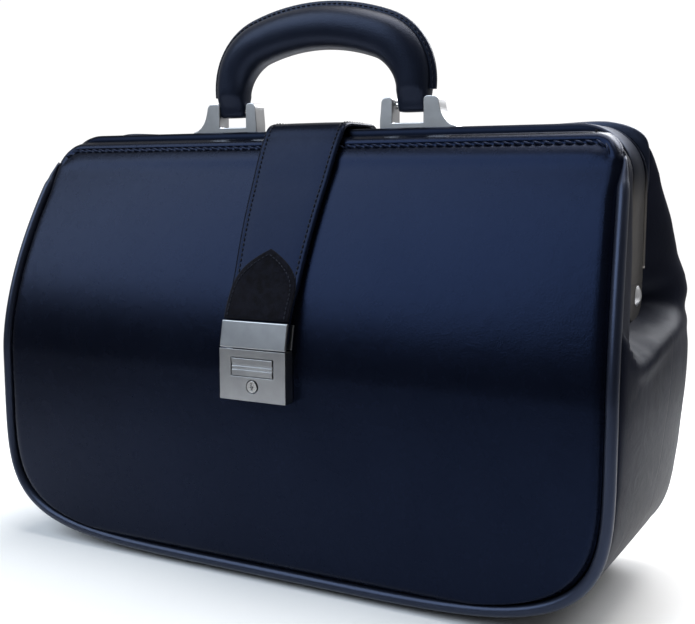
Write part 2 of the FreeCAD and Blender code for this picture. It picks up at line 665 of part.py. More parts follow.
def grip_path():
    """Legs that rise straight, shoulders that turn in, and a shallow crown, all tangent."""
    y = dim("handle_y")
    leg, top, crown, shoulder = dim("grip_leg"), dim("grip_top"), dim("grip_crown"), dim("grip_shoulder")
    lean = math.asin((leg - shoulder) / (crown - shoulder))
    crown_z = top - crown
    centre = V((crown - shoulder) * math.sin(lean), y, crown_z + (crown - shoulder) * math.cos(lean))
    join = V(crown * math.sin(lean), y, crown_z + crown * math.cos(lean))
    half = (math.pi / 2 - lean) / 2
    middle = centre + V(math.cos(half), 0, math.sin(half)) * shoulder
    foot, spring = V(leg, y, dim("grip_foot")), V(leg, y, centre.z)

    def across(point):
        return V(-point.x, point.y, point.z)

    edges = [
        Part.makeLine(across(foot), across(spring)),
        Part.Arc(across(spring), across(middle), across(join)).toShape(),
        Part.Arc(across(join), V(0, y, top), join).toShape(),
        Part.Arc(join, middle, spring).toShape(),
        Part.makeLine(spring, foot),
    ]
    return Part.Wire(edges)


def tube(path, radius, start, direction):
    ring = Part.Wire([Part.Circle(start, direction, radius).toShape()])
    return path.makePipeShell([ring], True, True)


path = grip_path()
path_start = V(-dim("grip_leg"), dim("handle_y"), dim("grip_foot"))
core = tube(path, dim("core_radius"), path_start, V(0, 0, 1))
grip_solid = tube(path, dim("grip_radius"), path_start, V(0, 0, 1))
shaped("handle_grip", grip_solid.cut(core))


def handle_eye(end):
    """The flat end of the handle's core, which turns on the bracket's pin."""
    half, radius = dim("slot_half") - dim("eye_gap"), dim("eye_radius")
    x = end * dim("pin_reach")
    y, z = dim("handle_y"), dim("pin_height")
    along = V(1, 0, 0)
    eye = Part.makeCylinder(radius, 2 * half, V(x - half, y, z), along)
    web = Part.makeBox(2 * half, 2 * radius, dim("grip_foot") - z - 0.3, V(x - half, y - radius, z))
    bore = Part.makeCylinder(dim("pin_radius") + dim("rivet_play"), 2 * half + 2, V(x - half - 1, y, z), along)
    stub = Part.makeCylinder(dim("core_radius"), 1.0, V(end * dim("grip_leg"), y, dim("grip_foot") - 0.6))
    return eye.fuse([web, stub]).cut(bore)


shaped("handle_core", core.fuse([handle_eye(-1), handle_eye(1)]).removeSplitter())

doc.recompute()

# ---- lean the hasp with the panel ----
for piece in (hasp_front, hasp_back, nodes["hasp_rivets"]):
    lean(piece)
doc.recompute()


# ---- fasteners that need the other pieces' places ----

def lock_rivets():
    """Four rivets from the lock's inside through the panel to the back plate."""
    start = -dim("lock_front") + dim("lock_depth") - 0.2
    length = dim("leather") + 3.4
    reach, inset = dim("lock_rivet_reach"), dim("lock_rivet_inset")
    spots = [(x, z) for x in (-reach, reach) for z in (dim("lock_foot") + inset, dim("lock_top") - inset)]
    return [Part.makeCylinder(dim("lock_rivet_radius"), length, V(x, start, z), V(0, 1, 0)) for x, z in spots]


def pierce(fasteners, *labels):
    """Cuts the fasteners' holes in the pieces that they pass through."""
    for label in labels:
        pierced = nodes[label].Shape.cut(fasteners)
        nodes[label].Label = label + "_blank"
        shaped(label, pierced)


through_lock = Part.makeCompound(lock_rivets())
shaped("lock_rivets", through_lock)
pierce(through_lock, "front_panel_lower", "lock_back_plate")
pierce(nodes["hasp_rivets"].Shape, "strap")


def strap_rivets():
    """Three rivets that hold the strap's tail to the rear frame half."""
    y = dim("frame_face") - 1.5
    length = 3.0 + dim("strap_thick")
    height = dim("tail_top") - dim("tail_rivet_drop")
    spots = [V(side * dim("tail_rivet_reach"), y, height) for side in (-1, 0, 1)]
    return [Part.makeCylinder(dim("tail_rivet_radius"), length, spot, V(0, 1, 0)) for spot in spots]


through_tail = Part.makeCompound(strap_rivets())
shaped("strap_rivets", through_tail)
pierce(through_tail, "strap_tail", "rear_frame")


# ---- check and write ----

def check():
    for obj in doc.Objects:
        if {"Invalid", "Error"} & set(obj.State):
            raise RuntimeError(f"{obj.Label} failed: {obj.State}")
    for label, obj in nodes.items():
        shape = obj.Shape
        if shape.isNull() or not shape.isValid() or not shape.Solids:
            raise RuntimeError(f"{label} has no valid solid")


check()
os.makedirs("parts", exist_ok=True)
for label, obj in sorted(nodes.items()):
    obj.Shape.exportStep(f"parts/{label}.step")
print(len(nodes), "sub-parts written")
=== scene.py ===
"""Doctor bag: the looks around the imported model.

Sizes are in millimetres, and meshes are scaled to metres as they are made.
"""

import math

import bmesh
import bpy
from mathutils import Matrix, Vector


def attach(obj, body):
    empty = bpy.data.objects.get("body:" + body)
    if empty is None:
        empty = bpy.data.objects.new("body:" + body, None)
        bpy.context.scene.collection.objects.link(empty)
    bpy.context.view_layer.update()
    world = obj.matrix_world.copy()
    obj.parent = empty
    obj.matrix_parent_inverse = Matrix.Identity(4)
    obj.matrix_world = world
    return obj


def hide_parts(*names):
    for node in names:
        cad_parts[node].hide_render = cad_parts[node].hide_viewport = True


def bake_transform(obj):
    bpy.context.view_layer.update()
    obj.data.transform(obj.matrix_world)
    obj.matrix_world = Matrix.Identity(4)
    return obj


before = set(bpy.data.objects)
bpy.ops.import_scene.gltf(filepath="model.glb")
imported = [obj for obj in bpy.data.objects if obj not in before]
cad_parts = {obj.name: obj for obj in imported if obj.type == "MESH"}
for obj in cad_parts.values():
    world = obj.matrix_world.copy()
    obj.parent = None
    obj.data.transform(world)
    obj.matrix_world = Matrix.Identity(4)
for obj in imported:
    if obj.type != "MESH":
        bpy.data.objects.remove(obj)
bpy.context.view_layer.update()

MM = 0.001
FRONT, REAR = -1, 1
LEFT, RIGHT = -1, 1
HALVES = {FRONT: "front_half", REAR: "rear_half"}
NAMES = {FRONT: "front", REAR: "rear"}
ENDS = {LEFT: "left", RIGHT: "right"}

# ---- the body's curved surfaces, as the CAD source has them ----

WAIST, BASE, SHOULDER = 109.5, 3.0, 235.2
BODY_REACH, SHOULDER_REACH = 194.4, 186.1
BODY_DEPTH, FRAME_FACE, FRAME_TOP, SLOPE_START = 69.5, 16.4, 251.3, 117.6
FRAME_REACH, FRAME_CORNER, FRAME_BAR, PIVOT = 185.2, 28.0, 10.0, 163.9
PANEL_TOP, PANEL_CORNER = 247.0, 15.0


def depth_at(z):
    rise = max(0.0, (z - SLOPE_START) / (FRAME_TOP - SLOPE_START))
    return BODY_DEPTH - (BODY_DEPTH - FRAME_FACE) * rise ** 1.667


def reach_at(z, inset=0.0):
    if z >= WAIST:
        rise = (z - WAIST) / (SHOULDER - WAIST)
        return BODY_REACH - (BODY_REACH - SHOULDER_REACH) * rise ** 1.853 - inset
    drop = (WAIST - z) / (WAIST - BASE - inset)
    return (BODY_REACH - inset) * max(0.0, 1 - drop ** 5) ** 0.2


def smooth_step(low, high, value):
    t = min(1.0, max(0.0, (value - low) / (high - low)))
    return t * t * (3 - 2 * t)


def bell(value, centre, width):
    return math.exp(-((value - centre) / width) ** 2)


def between(a, b, t):
    return a + (b - a) * t


def table_at(table, value):
    """Smooth interpolation through a short table of (value, result) pairs."""
    if value <= table[0][0]:
        return table[0][1]
    for (a, ra), (b, rb) in zip(table, table[1:]):
        if value <= b:
            return between(ra, rb, smooth_step(a, b, value) * 0.5 + (value - a) / (b - a) * 0.5)
    return table[-1][1]


# ---- materials ----

def nodes_of(name):
    material = bpy.data.materials.new(name)
    material.use_nodes = True
    tree = material.node_tree
    return material, tree, tree.nodes["Principled BSDF"]


def add(tree, kind, **settings):
    node = tree.nodes.new(kind)
    for key, value in settings.items():
        if key in node.inputs:
            node.inputs[key].default_value = value
        else:
            setattr(node, key, value)
    return node


def ramp(tree, source, low, high, start=0.3, end=0.7):
    node = tree.nodes.new("ShaderNodeValToRGB")
    node.color_ramp.elements[0].position = start
    node.color_ramp.elements[1].position = end
    node.color_ramp.elements[0].color = (*low, 1)
    node.color_ramp.elements[1].color = (*high, 1)
    tree.links.new(source, node.inputs["Fac"])
    return node.outputs["Color"]


def spread(tree, source, low, high):
    node = add(tree, "ShaderNodeMapRange")
    node.inputs["To Min"].default_value = low
    node.inputs["To Max"].default_value = high
    tree.links.new(source, node.inputs["Value"])
    return node.outputs["Result"]


def eased(tree, source, start, end, low=0.0, high=1.0):
    """Goes smoothly from low to high while the source goes from start to end."""
    node = add(tree, "ShaderNodeMapRange", interpolation_type="SMOOTHSTEP")
    for socket, value in (("From Min", start), ("From Max", end), ("To Min", low), ("To Max", high)):
        node.inputs[socket].default_value = value
    tree.links.new(source, node.inputs["Value"])
    return node.outputs["Result"]


def part_of(tree, vector, axis):
    node = add(tree, "ShaderNodeSeparateXYZ")
    tree.links.new(vector, node.inputs["Vector"])
    return node.outputs[axis]


def mixed(tree, share, tone, colour):
    """A tone, turned by a share to one plain colour."""
    node = add(tree, "ShaderNodeMix", data_type="RGBA", blend_type="MIX")
    tree.links.new(share, node.inputs["Factor"])
    tree.links.new(tone, node.inputs["A"])
    node.inputs["B"].default_value = (*colour, 1)
    return node.outputs["Result"]


def object_point(tree, scale=(1, 1, 1)):
    place = add(tree, "ShaderNodeTexCoord")
    mapping = add(tree, "ShaderNodeMapping")
    mapping.inputs["Scale"].default_value = scale
    tree.links.new(place.outputs["Object"], mapping.inputs["Vector"])
    return mapping.outputs["Vector"]


def noise(tree, point, scale, detail=3.0, distortion=0.0):
    node = add(tree, "ShaderNodeTexNoise", Scale=scale, Detail=detail, Distortion=distortion)
    tree.links.new(point, node.inputs["Vector"])
    return node.outputs["Fac"]


def cells(tree, point, scale):
    node = add(tree, "ShaderNodeTexVoronoi", Scale=scale)
    tree.links.new(point, node.inputs["Vector"])
    return node.outputs["Distance"]


def combine(tree, how, a, b):
    node = add(tree, "ShaderNodeMath", operation=how)
    for socket, value in zip(node.inputs, (a, b)):
        if isinstance(value, (int, float)):
            socket.default_value = value
        else:
            tree.links.new(value, socket)
    return node.outputs["Value"]


def bumped(tree, shader, height, depth):
    node = add(tree, "ShaderNodeBump", Strength=1.0, Distance=depth * MM)
    tree.links.new(height, node.inputs["Height"])
    tree.links.new(node.outputs["Normal"], shader.inputs["Normal"])


PALE_EDGE_LEATHER, EDGE_PALING = (0.05, 0.06, 0.09), 0.1


def leather(name, dark, light, gloss=(0.24, 0.3), specular=0.19, grain=0.05, crease=0.1,
            painted_reflection_tint=(0.26, 0.42, 1)):
    """Smooth calf: fine cells and pores, faint creases, and slightly paler raised edges.

    Gloss is the range of its roughness; grain is the relief of its surface in millimetres.
    """
    material, tree, shader = nodes_of(name)
    point = object_point(tree)
    tone = ramp(tree, noise(tree, point, 22, 4), dark, light)
    raised = add(tree, "ShaderNodeNewGeometry").outputs["Pointiness"]
    # Raised edges, found by their pointiness, are mixed a little towards a paler blue-grey.
    edge = ramp(tree, raised, (0, 0, 0), (1, 1, 1), 0.55, 0.66)
    paled_edges = mixed(tree, combine(tree, "MULTIPLY", edge, EDGE_PALING), tone, PALE_EDGE_LEATHER)
    tree.links.new(paled_edges, shader.inputs["Base Color"])
    tree.links.new(spread(tree, noise(tree, point, 140, 5), *gloss), shader.inputs["Roughness"])
    shader.inputs["Specular IOR Level"].default_value = specular
    # Painted reflection: the blue specular tint stands in for bluish light falling from above.
    shader.inputs["Specular Tint"].default_value = (*painted_reflection_tint, 1)
    pebble = combine(tree, "MULTIPLY", cells(tree, point, 1100), 0.6)
    pores = combine(tree, "MULTIPLY", noise(tree, point, 3000, 2), 0.5)
    creases = combine(tree, "MULTIPLY", noise(tree, point, 60, 6, 1.5), crease / grain)
    bumped(tree, shader, combine(tree, "ADD", combine(tree, "ADD", pebble, pores), creases), grain)
    return material


def suede(name, dark, light, fuzz):
    """A matt nap, also used for the lining cloth; fuzz is its sheen."""
    material, tree, shader = nodes_of(name)
    point = object_point(tree)
    nap = noise(tree, point, 260, 6, 0.8)
    tree.links.new(ramp(tree, nap, dark, light, 0.35, 0.65), shader.inputs["Base Color"])
    shader.inputs["Roughness"].default_value = 0.95
    shader.inputs["Specular IOR Level"].default_value = 0.1
    shader.inputs["Sheen Weight"].default_value = fuzz
    shader.inputs["Sheen Roughness"].default_value = 0.5
    bumped(tree, shader, noise(tree, point, 2600, 4), 0.25)
    return material


def metal(name, dark, light, gloss, cloud_scale, lines=(60, 60, 2400)):
    """Satin metal: fine brushed lines, cloudy tone, and roughness that varies along them."""
    material, tree, shader = nodes_of(name)
    brushed = noise(tree, object_point(tree, lines), 1.0, 4)
    cloud = noise(tree, object_point(tree), cloud_scale, 4)
    tree.links.new(ramp(tree, cloud, dark, light), shader.inputs["Base Color"])
    shader.inputs["Metallic"].default_value = 1.0
    tree.links.new(spread(tree, brushed, *gloss), shader.inputs["Roughness"])
    bumped(tree, shader, brushed, 0.01)
    return material


def thread(name, tone):
    """Waxed thread with the slanted bands of its twist."""
    material, tree, shader = nodes_of(name)
    point = object_point(tree)
    tree.links.new(ramp(tree, noise(tree, point, 900, 3), tone, tuple(2 * c for c in tone)),
                   shader.inputs["Base Color"])
    shader.inputs["Roughness"].default_value = 0.6
    shader.inputs["Specular IOR Level"].default_value = 0.25
    wave = add(tree, "ShaderNodeTexWave", Scale=900.0, Distortion=1.0, bands_direction="DIAGONAL")
    tree.links.new(point, wave.inputs["Vector"])
    bumped(tree, shader, wave.outputs["Fac"], 0.2)
    return material


def board(name, dark, light):
    """Matt pressed board with its fibres drawn out along one side."""
    material, tree, shader = nodes_of(name)
    point = object_point(tree, (1, 4, 1))
    tree.links.new(ramp(tree, noise(tree, point, 160, 6), dark, light), shader.inputs["Base Color"])
    shader.inputs["Roughness"].default_value = 0.85
    bumped(tree, shader, noise(tree, point, 900, 4), 0.15)
    return material


def painted_shade_above(material, low, high, tone, glancing):
    """Painted shade: turns a metal dark above a height, as the bow is over its top, and dims its glancing
    reflections.
    """
    tree = material.node_tree
    shader = tree.nodes["Principled BSDF"]
    colour = shader.inputs["Base Color"]
    height = part_of(tree, object_point(tree), "Z")
    share = eased(tree, height, low * MM, high * MM)
    tree.links.new(mixed(tree, share, colour.links[0].from_socket, tone), colour)
    shader.inputs["Specular Tint"].default_value = (*glancing, 1)


PANEL = leather("panel_calf", (0.0014, 0.0018, 0.004), (0.0024, 0.0032, 0.0068))
# Painted light: the sides' calf is the panels' calf made three to five times paler, for the light the sides
# catch; the pleats share it.
SIDE_CALF_PAINTED_PALER = leather("gusset_calf_painted_paler", (0.007, 0.008, 0.014), (0.012, 0.0135, 0.023), gloss=(0.4, 0.48),
                 specular=0.06, grain=0.06, crease=0.3, painted_reflection_tint=(0.6, 0.72, 1))
PIPING = leather("piping_calf", (0.006, 0.007, 0.012), (0.01, 0.012, 0.02), gloss=(0.3, 0.38),
                 specular=0.5, painted_reflection_tint=(0.5, 0.62, 1))
STRAP = leather("strap_calf", (0.0025, 0.0032, 0.007), (0.004, 0.0055, 0.011), gloss=(0.24, 0.31),
                specular=0.14)
GRIP = leather("handle_calf", (0.005, 0.0065, 0.013), (0.009, 0.012, 0.022), gloss=(0.3, 0.4),
               specular=0.25, grain=0.08, crease=0.15, painted_reflection_tint=(0.5, 0.62, 1))
ROPE = leather("rope_thread", (0.004, 0.005, 0.01), (0.007, 0.009, 0.017), gloss=(0.3, 0.38),
               specular=0.3, grain=0.08)
SUEDE = suede("tab_suede", (0.0009, 0.001, 0.003), (0.0036, 0.0042, 0.0088), 0.04)
LINING = suede("lining_cloth", (0.012, 0.012, 0.016), (0.022, 0.022, 0.028), 0.2)
STEEL = metal("frame_satin_steel", (0.12, 0.112, 0.105), (0.17, 0.16, 0.15), (0.34, 0.46), 30,
              lines=(900, 60, 60))
# Painted shade: the bow's colour is darkened above 208 to 230 mm, and its glancing reflections are dimmed.
painted_shade_above(STEEL, 208, 230, (0.005, 0.007, 0.014), glancing=(0.66, 0.67, 0.7))
NICKEL = metal("satin_nickel", (0.31, 0.315, 0.33), (0.38, 0.385, 0.4), (0.26, 0.34), 90)
# Painted light: satin nickel made paler for the brackets, which catch more light; the pivot rivets share it.
NICKEL_PAINTED_PALER = metal("satin_nickel_painted_paler", (0.52, 0.525, 0.54), (0.62, 0.625, 0.64), (0.28, 0.36), 90)
BRIGHT = metal("polished_nickel", (0.5, 0.5, 0.5), (0.6, 0.595, 0.59), (0.14, 0.22), 200)
DARK_STEEL = metal("plain_steel", (0.22, 0.22, 0.22), (0.34, 0.34, 0.33), (0.3, 0.45), 60)
BOARD = board("pressed_board", (0.05, 0.04, 0.03), (0.09, 0.075, 0.06))
THREAD = thread("waxed_thread", (0.006, 0.008, 0.016))

# ---- mesh helpers ----


def piece(name, points, faces, materials, slot=None):
    mesh = bpy.data.meshes.new(name)
    mesh.from_pydata([Vector(p) * MM for p in points], [], faces)
    mesh.validate()
    obj = bpy.data.objects.new(name, mesh)
    bpy.context.scene.collection.objects.link(obj)
    for material in materials if isinstance(materials, (list, tuple)) else [materials]:
        mesh.materials.append(material)
    mesh.polygons.foreach_set("use_smooth", [True] * len(mesh.polygons))
    return obj


def grid(rows, flip=False):
    """Points and quads of an open sheet, given as rows of points."""
    wide = len(rows[0])
    points = [p for row in rows for p in row]
    faces = []
    for i in range(len(rows) - 1):
        for j in range(wide - 1):
            a = i * wide + j
            face = (a, a + 1, a + wide + 1, a + wide)
            faces.append(face[::-1] if flip else face)
    return points, faces


def loft(rings):
    """Points and faces of a solid through rings of the same count, with capped ends."""
    count = len(rings[0])
    points = [p for ring in rings for p in ring]
    faces = []
    for i in range(len(rings) - 1):
        start, after = i * count, (i + 1) * count
        for j in range(count):
            k = (j + 1) % count
            faces.append((start + j, start + k, after + k, after + j))
    faces.append(tuple(range(count))[::-1])
    faces.append(tuple(range(len(points) - count, len(points))))
    return points, faces


def join_shapes(shapes):
    points, faces = [], []
    for some_points, some_faces in shapes:
        first = len(points)
        points += some_points
        faces += [tuple(first + i for i in face) for face in some_faces]
    return points, faces


def outline_prism(outline, across, low, high):
    """A prism from an outline of (u, v) pairs; across says which axis it is extruded along."""
    order = {"x": lambda u, v, w: (w, u, v), "y": lambda u, v, w: (u, w, v)}[across]
    rings = [[order(u, v, w) for u, v in outline] for w in (low, high)]
    return loft(rings)


def outward(obj):
    """Turns the faces of a closed mesh outwards."""
    edit = bmesh.new()
    edit.from_mesh(obj.data)
    bmesh.ops.recalc_face_normals(edit, faces=edit.faces)
    edit.to_mesh(obj.data)
    edit.free()
    return obj


def bevelled(obj, width, segments=3, angle=35):
    """Rounded edges, with the faces turned outwards first."""
    bevel = outward(obj).modifiers.new("rounding", "BEVEL")
    bevel.width = width * MM
    bevel.segments = segments
    bevel.limit_method = "ANGLE"
    bevel.angle_limit = math.radians(angle)
    bevel.harden_normals = True
    return obj


def smoothed(obj):
    subdivide = obj.modifiers.new("smooth", "SUBSURF")
    subdivide.levels = subdivide.render_levels = 1
    return obj


def carve(obj, cutters):
    """Cuts closed shapes out of a piece, and keeps the result as its mesh."""
    for index, (points, faces) in enumerate(cutters):
        tool = outward(piece(f"cutter_{index}", points, faces, []))
        cut = obj.modifiers.new("cut", "BOOLEAN")
        cut.object = tool
        cut.solver = "EXACT"
        bpy.context.view_layer.update()
        result = obj.evaluated_get(bpy.context.evaluated_depsgraph_get())
        made = bpy.data.meshes.new_from_object(result)
        obj.modifiers.clear()
        obj.data = made
        bpy.data.objects.remove(tool)
    return obj


def block(x, y, z):
    """A box between pairs of x, y and z, for pieces that are then bevelled and for cutters."""
    corners = [(x[0], z[0]), (x[1], z[0]), (x[1], z[1]), (x[0], z[1])]
    return outline_prism(corners, "y", *y)


def circle(radius, sides):
    """Points (u, v) around the origin."""
    return [(radius * math.cos(a), radius * math.sin(a))
            for a in (2 * math.pi * i / sides for i in range(sides))]


def rod_y(x, z, radius, y, sides=32):
    return outline_prism([(x + u, z + v) for u, v in circle(radius, sides)], "y", *y)


def path_through(points, per_span=8):
    """A smooth curve through points (Catmull-Rom)."""
    ends = [points[0]] + list(points) + [points[-1]]
    ends = [Vector(p) for p in ends]
    made = []
    for a, b, c, d in zip(ends, ends[1:], ends[2:], ends[3:]):
        for step in range(per_span):
            t = step / per_span
            made.append(0.5 * (2 * b + (c - a) * t + (2 * a - 5 * b + 4 * c - d) * t * t
                               + (3 * b - a - 3 * c + d) * t ** 3))
    return made + [ends[-1]]


def directions(points):
    made = []
    for i in range(len(points)):
        a, b = points[max(0, i - 1)], points[min(len(points) - 1, i + 1)]
        made.append((Vector(b) - Vector(a)).normalized())
    return made


def tube(points, radius, sides, up=(0, 1, 0)):
    """A round tube along points; its radius is a function of the share of the points passed."""
    rings = []
    previous = Vector(up)
    for i, (p, along) in enumerate(zip(points, directions(points))):
        side = along.cross(previous).normalized()
        previous = side.cross(along).normalized()
        share = i / (len(points) - 1)
        rings.append([tuple(Vector(p) + side * u + previous * v) for u, v in circle(radius(share), sides)])
    return loft(rings)


STITCH_RISE = (0.0, 0.75, 1.0, 0.75, 0.0)
STITCH_SIDES = 6


def stitch(start, end, radius, lift, normal):
    """One stitch between two holes, rising and thickening between them."""
    normal = Vector(normal).normalized()
    steps = len(STITCH_RISE) - 1
    points = [start.lerp(end, i / steps) + normal * (lift * share) for i, share in enumerate(STITCH_RISE)]
    return tube(points, lambda s: radius * (0.55 + 0.45 * math.sin(math.pi * s)), STITCH_SIDES, normal)


def stitch_run(points, normals, pitch, length, radius, lift, slant=(0, 0, 0)):
    """Stitches at an even pitch along a path; slant is how far each end moves, in opposite ways."""
    made = []
    travelled, due = 0.0, pitch / 2
    for a, b, normal in zip(points, points[1:], normals):
        a, b = Vector(a), Vector(b)
        span = (b - a).length
        while due <= travelled + span:
            middle = a.lerp(b, (due - travelled) / span)
            along = (b - a).normalized()
            half = along * (length / 2) + Vector(slant)
            made.append(stitch(middle - half, middle + half, radius, lift, normal))
            due += pitch
        travelled += span
    return join_shapes(made)


# ---- outline of the body in X and Z ----

def right_outline(inset, top, corner_steps=30, side_steps=60):
    """Points (x, z) of the right half of the outline, from near the middle of the base up to a height."""
    width, drop = BODY_REACH - inset, WAIST - BASE - inset
    made = []
    for step in range(1, corner_steps + 1):
        turn = math.pi / 2 * (1 - step / (corner_steps + 1))
        made.append((width * math.cos(turn) ** 0.4, WAIST - drop * math.sin(turn) ** 0.4))
    for step in range(side_steps + 1):
        z = WAIST + (top - WAIST) * step / side_steps
        made.append((reach_at(z, inset), z))
    return made


def arc_points(cx, cz, radius, start, end, steps):
    """Points on an arc around a centre, between two angles in degrees."""
    return [(cx + radius * math.cos(a), cz + radius * math.sin(a))
            for a in (math.radians(between(start, end, i / steps)) for i in range(steps + 1))]


def corner_arc(reach, top, radius, steps, until=90.0):
    """The rounded upper right corner, from its side up and over."""
    return arc_points(reach - radius, top - radius, radius, 0.0, until, steps)[1:]


# ---- front and rear leather panels ----

EDGE_STEPS = (0.0, 0.6, 1.3, 2.2, 3.4, 5.0, 7.5, 11.0, 17.0, 26.0, 40.0, 60.0, 85.0, 112.0, 140.0, 166.0)
HALF_WIDTH = 188.0
PANEL_INSET, PANEL_FLARE, PANEL_THICK = 6.4, 2.2, 2.0
BAND = 4.6
FLARE_HEIGHTS, BAND_HEIGHTS, ROLL_FROM = (212, 230), (226, 236), 234
WELT_DIP, BAND_RISE, GROOVE_DIP, BELOW_RISE, TOP_ROLL = 2.9, 0.9, 0.8, 1.0, 2.2
TOP_FOLD = ((3.4, 0.2), (5.0, -0.8), (5.2, -6.0))


def panel_relief(edge_gap, top_gap, z):
    """How far the leather stands out: it dips into the piping and is folded into a band at its top."""
    upper = smooth_step(*BAND_HEIGHTS, z)
    out = -WELT_DIP * bell(edge_gap, 0, 2.3)
    out += BAND_RISE * upper * (1 - smooth_step(BAND - 0.7, BAND + 0.5, top_gap))
    out -= GROOVE_DIP * upper * bell(top_gap, BAND + 0.9, 0.9)
    out += BELOW_RISE * upper * bell(top_gap, BAND + 7, 5.0)
    if z > ROLL_FROM:
        out -= TOP_ROLL * smooth_step(1.8, 0.0, top_gap)
    return out


def panel_rows(side):
    low = [(x + PANEL_FLARE * smooth_step(*FLARE_HEIGHTS, z), z)
           for x, z in right_outline(PANEL_INSET, PANEL_TOP - PANEL_CORNER)]
    reach = low[-1][0]
    outline = low + corner_arc(reach, PANEL_TOP, PANEL_CORNER, 16)
    foot = BASE + PANEL_INSET
    shares = [1 - e / HALF_WIDTH for e in EDGE_STEPS]
    shares = [-s for s in shares] + [0.0] + shares[::-1]
    rows = []
    for x_edge, z in outline:
        row = []
        for share in shares:
            x = share * x_edge
            edge_gap = min(x_edge - abs(x), z - foot + 0.2)
            round_x, round_z = abs(x) - (reach - PANEL_CORNER), z - (PANEL_TOP - PANEL_CORNER)
            at_corner = round_x > 0 and round_z > 0
            top_gap = PANEL_CORNER - math.hypot(round_x, round_z) if at_corner else PANEL_TOP - z
            row.append((x, side * (depth_at(z) + panel_relief(edge_gap, top_gap, z)), z))
        rows.append(row)
    for back, rise in TOP_FOLD:
        y = side * max(depth_at(PANEL_TOP) - back, FRAME_FACE - 2.2)
        rows.append([(x, y, PANEL_TOP + rise) for x, _, _ in rows[-1]])
    return rows


def soft_shell(obj, thick):
    """Gives a sheet its thickness on the inside, with the lining as its inner face."""
    shell = obj.modifiers.new("thickness", "SOLIDIFY")
    shell.thickness = thick * MM
    shell.offset = -1
    shell.material_offset = 1
    shell.use_rim = True
    return obj


def follow_frame(obj):
    """Bakes a piece's placement into its mesh."""
    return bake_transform(obj)


for side in (FRONT, REAR):
    tag = NAMES[side]
    points, faces = grid(panel_rows(side), flip=side == REAR)
    panel = soft_shell(piece(f"{tag}_leather", points, faces, [PANEL, LINING], "leather_navy"), PANEL_THICK)
    follow_frame(panel)
    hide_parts(f"{tag}_panel_lower", f"{tag}_panel_upper")

# ---- piping ----

PIPE_RADIUS, PIPE_INSET, PIPE_SUNK, PIPE_TOP = 3.1, 3.2, 2.9, 223.0
PIPE_TIP = ((0.1, 3.0), (0.4, 6.0), (0.9, 9.0), (1.6, 11.0))


def piping_path(side):
    half = right_outline(PIPE_INSET, PIPE_TOP)
    path = [(x, side * (depth_at(z) - PIPE_SUNK), z) for x, z in half]
    for in_by, rise in PIPE_TIP:
        z = PIPE_TOP + rise
        path.append((half[-1][0] - in_by, side * (depth_at(z) - PIPE_SUNK + 0.3), z))
    return [(-x, y, z) for x, y, z in path[::-1]] + path


def piping_radius(share):
    tip = min(share, 1 - share)
    return PIPE_RADIUS * (0.3 + 0.7 * smooth_step(0.0, 0.035, tip))


for side in (FRONT, REAR):
    tag = NAMES[side]
    points, faces = tube(piping_path(side), piping_radius, 16)
    pipe = outward(piece(f"{tag}_piping", points, faces, PIPING, "leather_piping"))
    follow_frame(pipe)
    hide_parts(f"{tag}_welt_lower", f"{tag}_welt_upper_left", f"{tag}_welt_upper_right")

# ---- base and gussets: one U-shaped strip for each half ----

TUCK, TUCK_START, REAR_TUCK = 174.0, 181.0, 182.0
LEG_EDGE = 17.2
FOLDS_FROM, HIDDEN_HEIGHTS = 118, (142, 160)
DENT_DEEP, DENT_Z, DENT_Y = 7.0, (158, 8), (22, 11)
OVERLAP, OVERLAP_SUNK = 1.2, 0.25
STRIP_INSET, STRIP_THICK, STRIP_TOP = 1.4, 1.8, 248.0
STRIP_EDGE_IN, STRIP_LEAST = 4.2, 12.0
STRIP_CORNERS = {FRONT: 26.0, REAR: 16.0}
SHOULDER_START, SHOULDER_END = 222.0, 238.0
LEG_POCKET = 11.5
BULGE = ((8, -1.0), (30, 0.5), (60, 4.5), (100, 9.5), (135, 11.5), (170, 8.0), (215, 2.0))
RIDGE = ((-56, 147), (-53, 139), (-50, 135.5), (-46, 134), (-40, 134.2), (-32, 136.5), (-18, 141), (0, 144),
         (28, 148), (58, 151))
RIDGE_WIDTH = ((-52, 8), (-42, 12), (-22, 15), (8, 15), (45, 22))
FRONT_FOLD = ((118, 15), (150, 15), (185, 13), (205, 9), (222, 5), (235, 2))
REAR_FOLD = ((145, 14.0), (152, 16.0), (160, 14.5), (170, 11.0), (184, 7.5), (200, 6.5), (221, 3.5))


def gusset_out(y, z, edge, reach):
    """How far the gusset stands out from the body's outline at y and z."""
    share = min(1.0, abs(y) / edge)
    lower = table_at(BULGE, z) * (1 - share ** 2) ** 0.45 * (1 + 0.3 * y / edge)
    if z < FOLDS_FROM:
        return lower
    tuck = reach - between(TUCK_START, TUCK, smooth_step(*HIDDEN_HEIGHTS, z))
    if y < 0:
        fold = -edge + table_at(FRONT_FOLD, z)
        t = min(1.0, max(0.0, (y - fold) / (-LEG_EDGE - fold)))
        upper = 0.8 - (tuck + 0.8) * t ** 0.85 if y > fold else 0.8 * smooth_step(-edge, fold, y)
    else:
        t = min(1.0, max(0.0, (edge - y) / max(edge - LEG_EDGE, 1e-6)))
        upper = -(reach - REAR_TUCK) * t ** 1.4 + table_at(REAR_FOLD, z) * math.sin(math.pi * t ** 0.62)
        upper -= DENT_DEEP * bell(z, *DENT_Z) * bell(y, *DENT_Y)
        upper = between(-tuck, upper, smooth_step(LEG_EDGE - 3.5, LEG_EDGE, y))
    ridge = table_at(RIDGE, y)
    turned = smooth_step(0, table_at(RIDGE_WIDTH, y), z - ridge)
    lip = bell(z, ridge - 1.5, 4.5) * smooth_step(-edge, -edge + 12, y)
    return between(lower + lip, upper, turned)


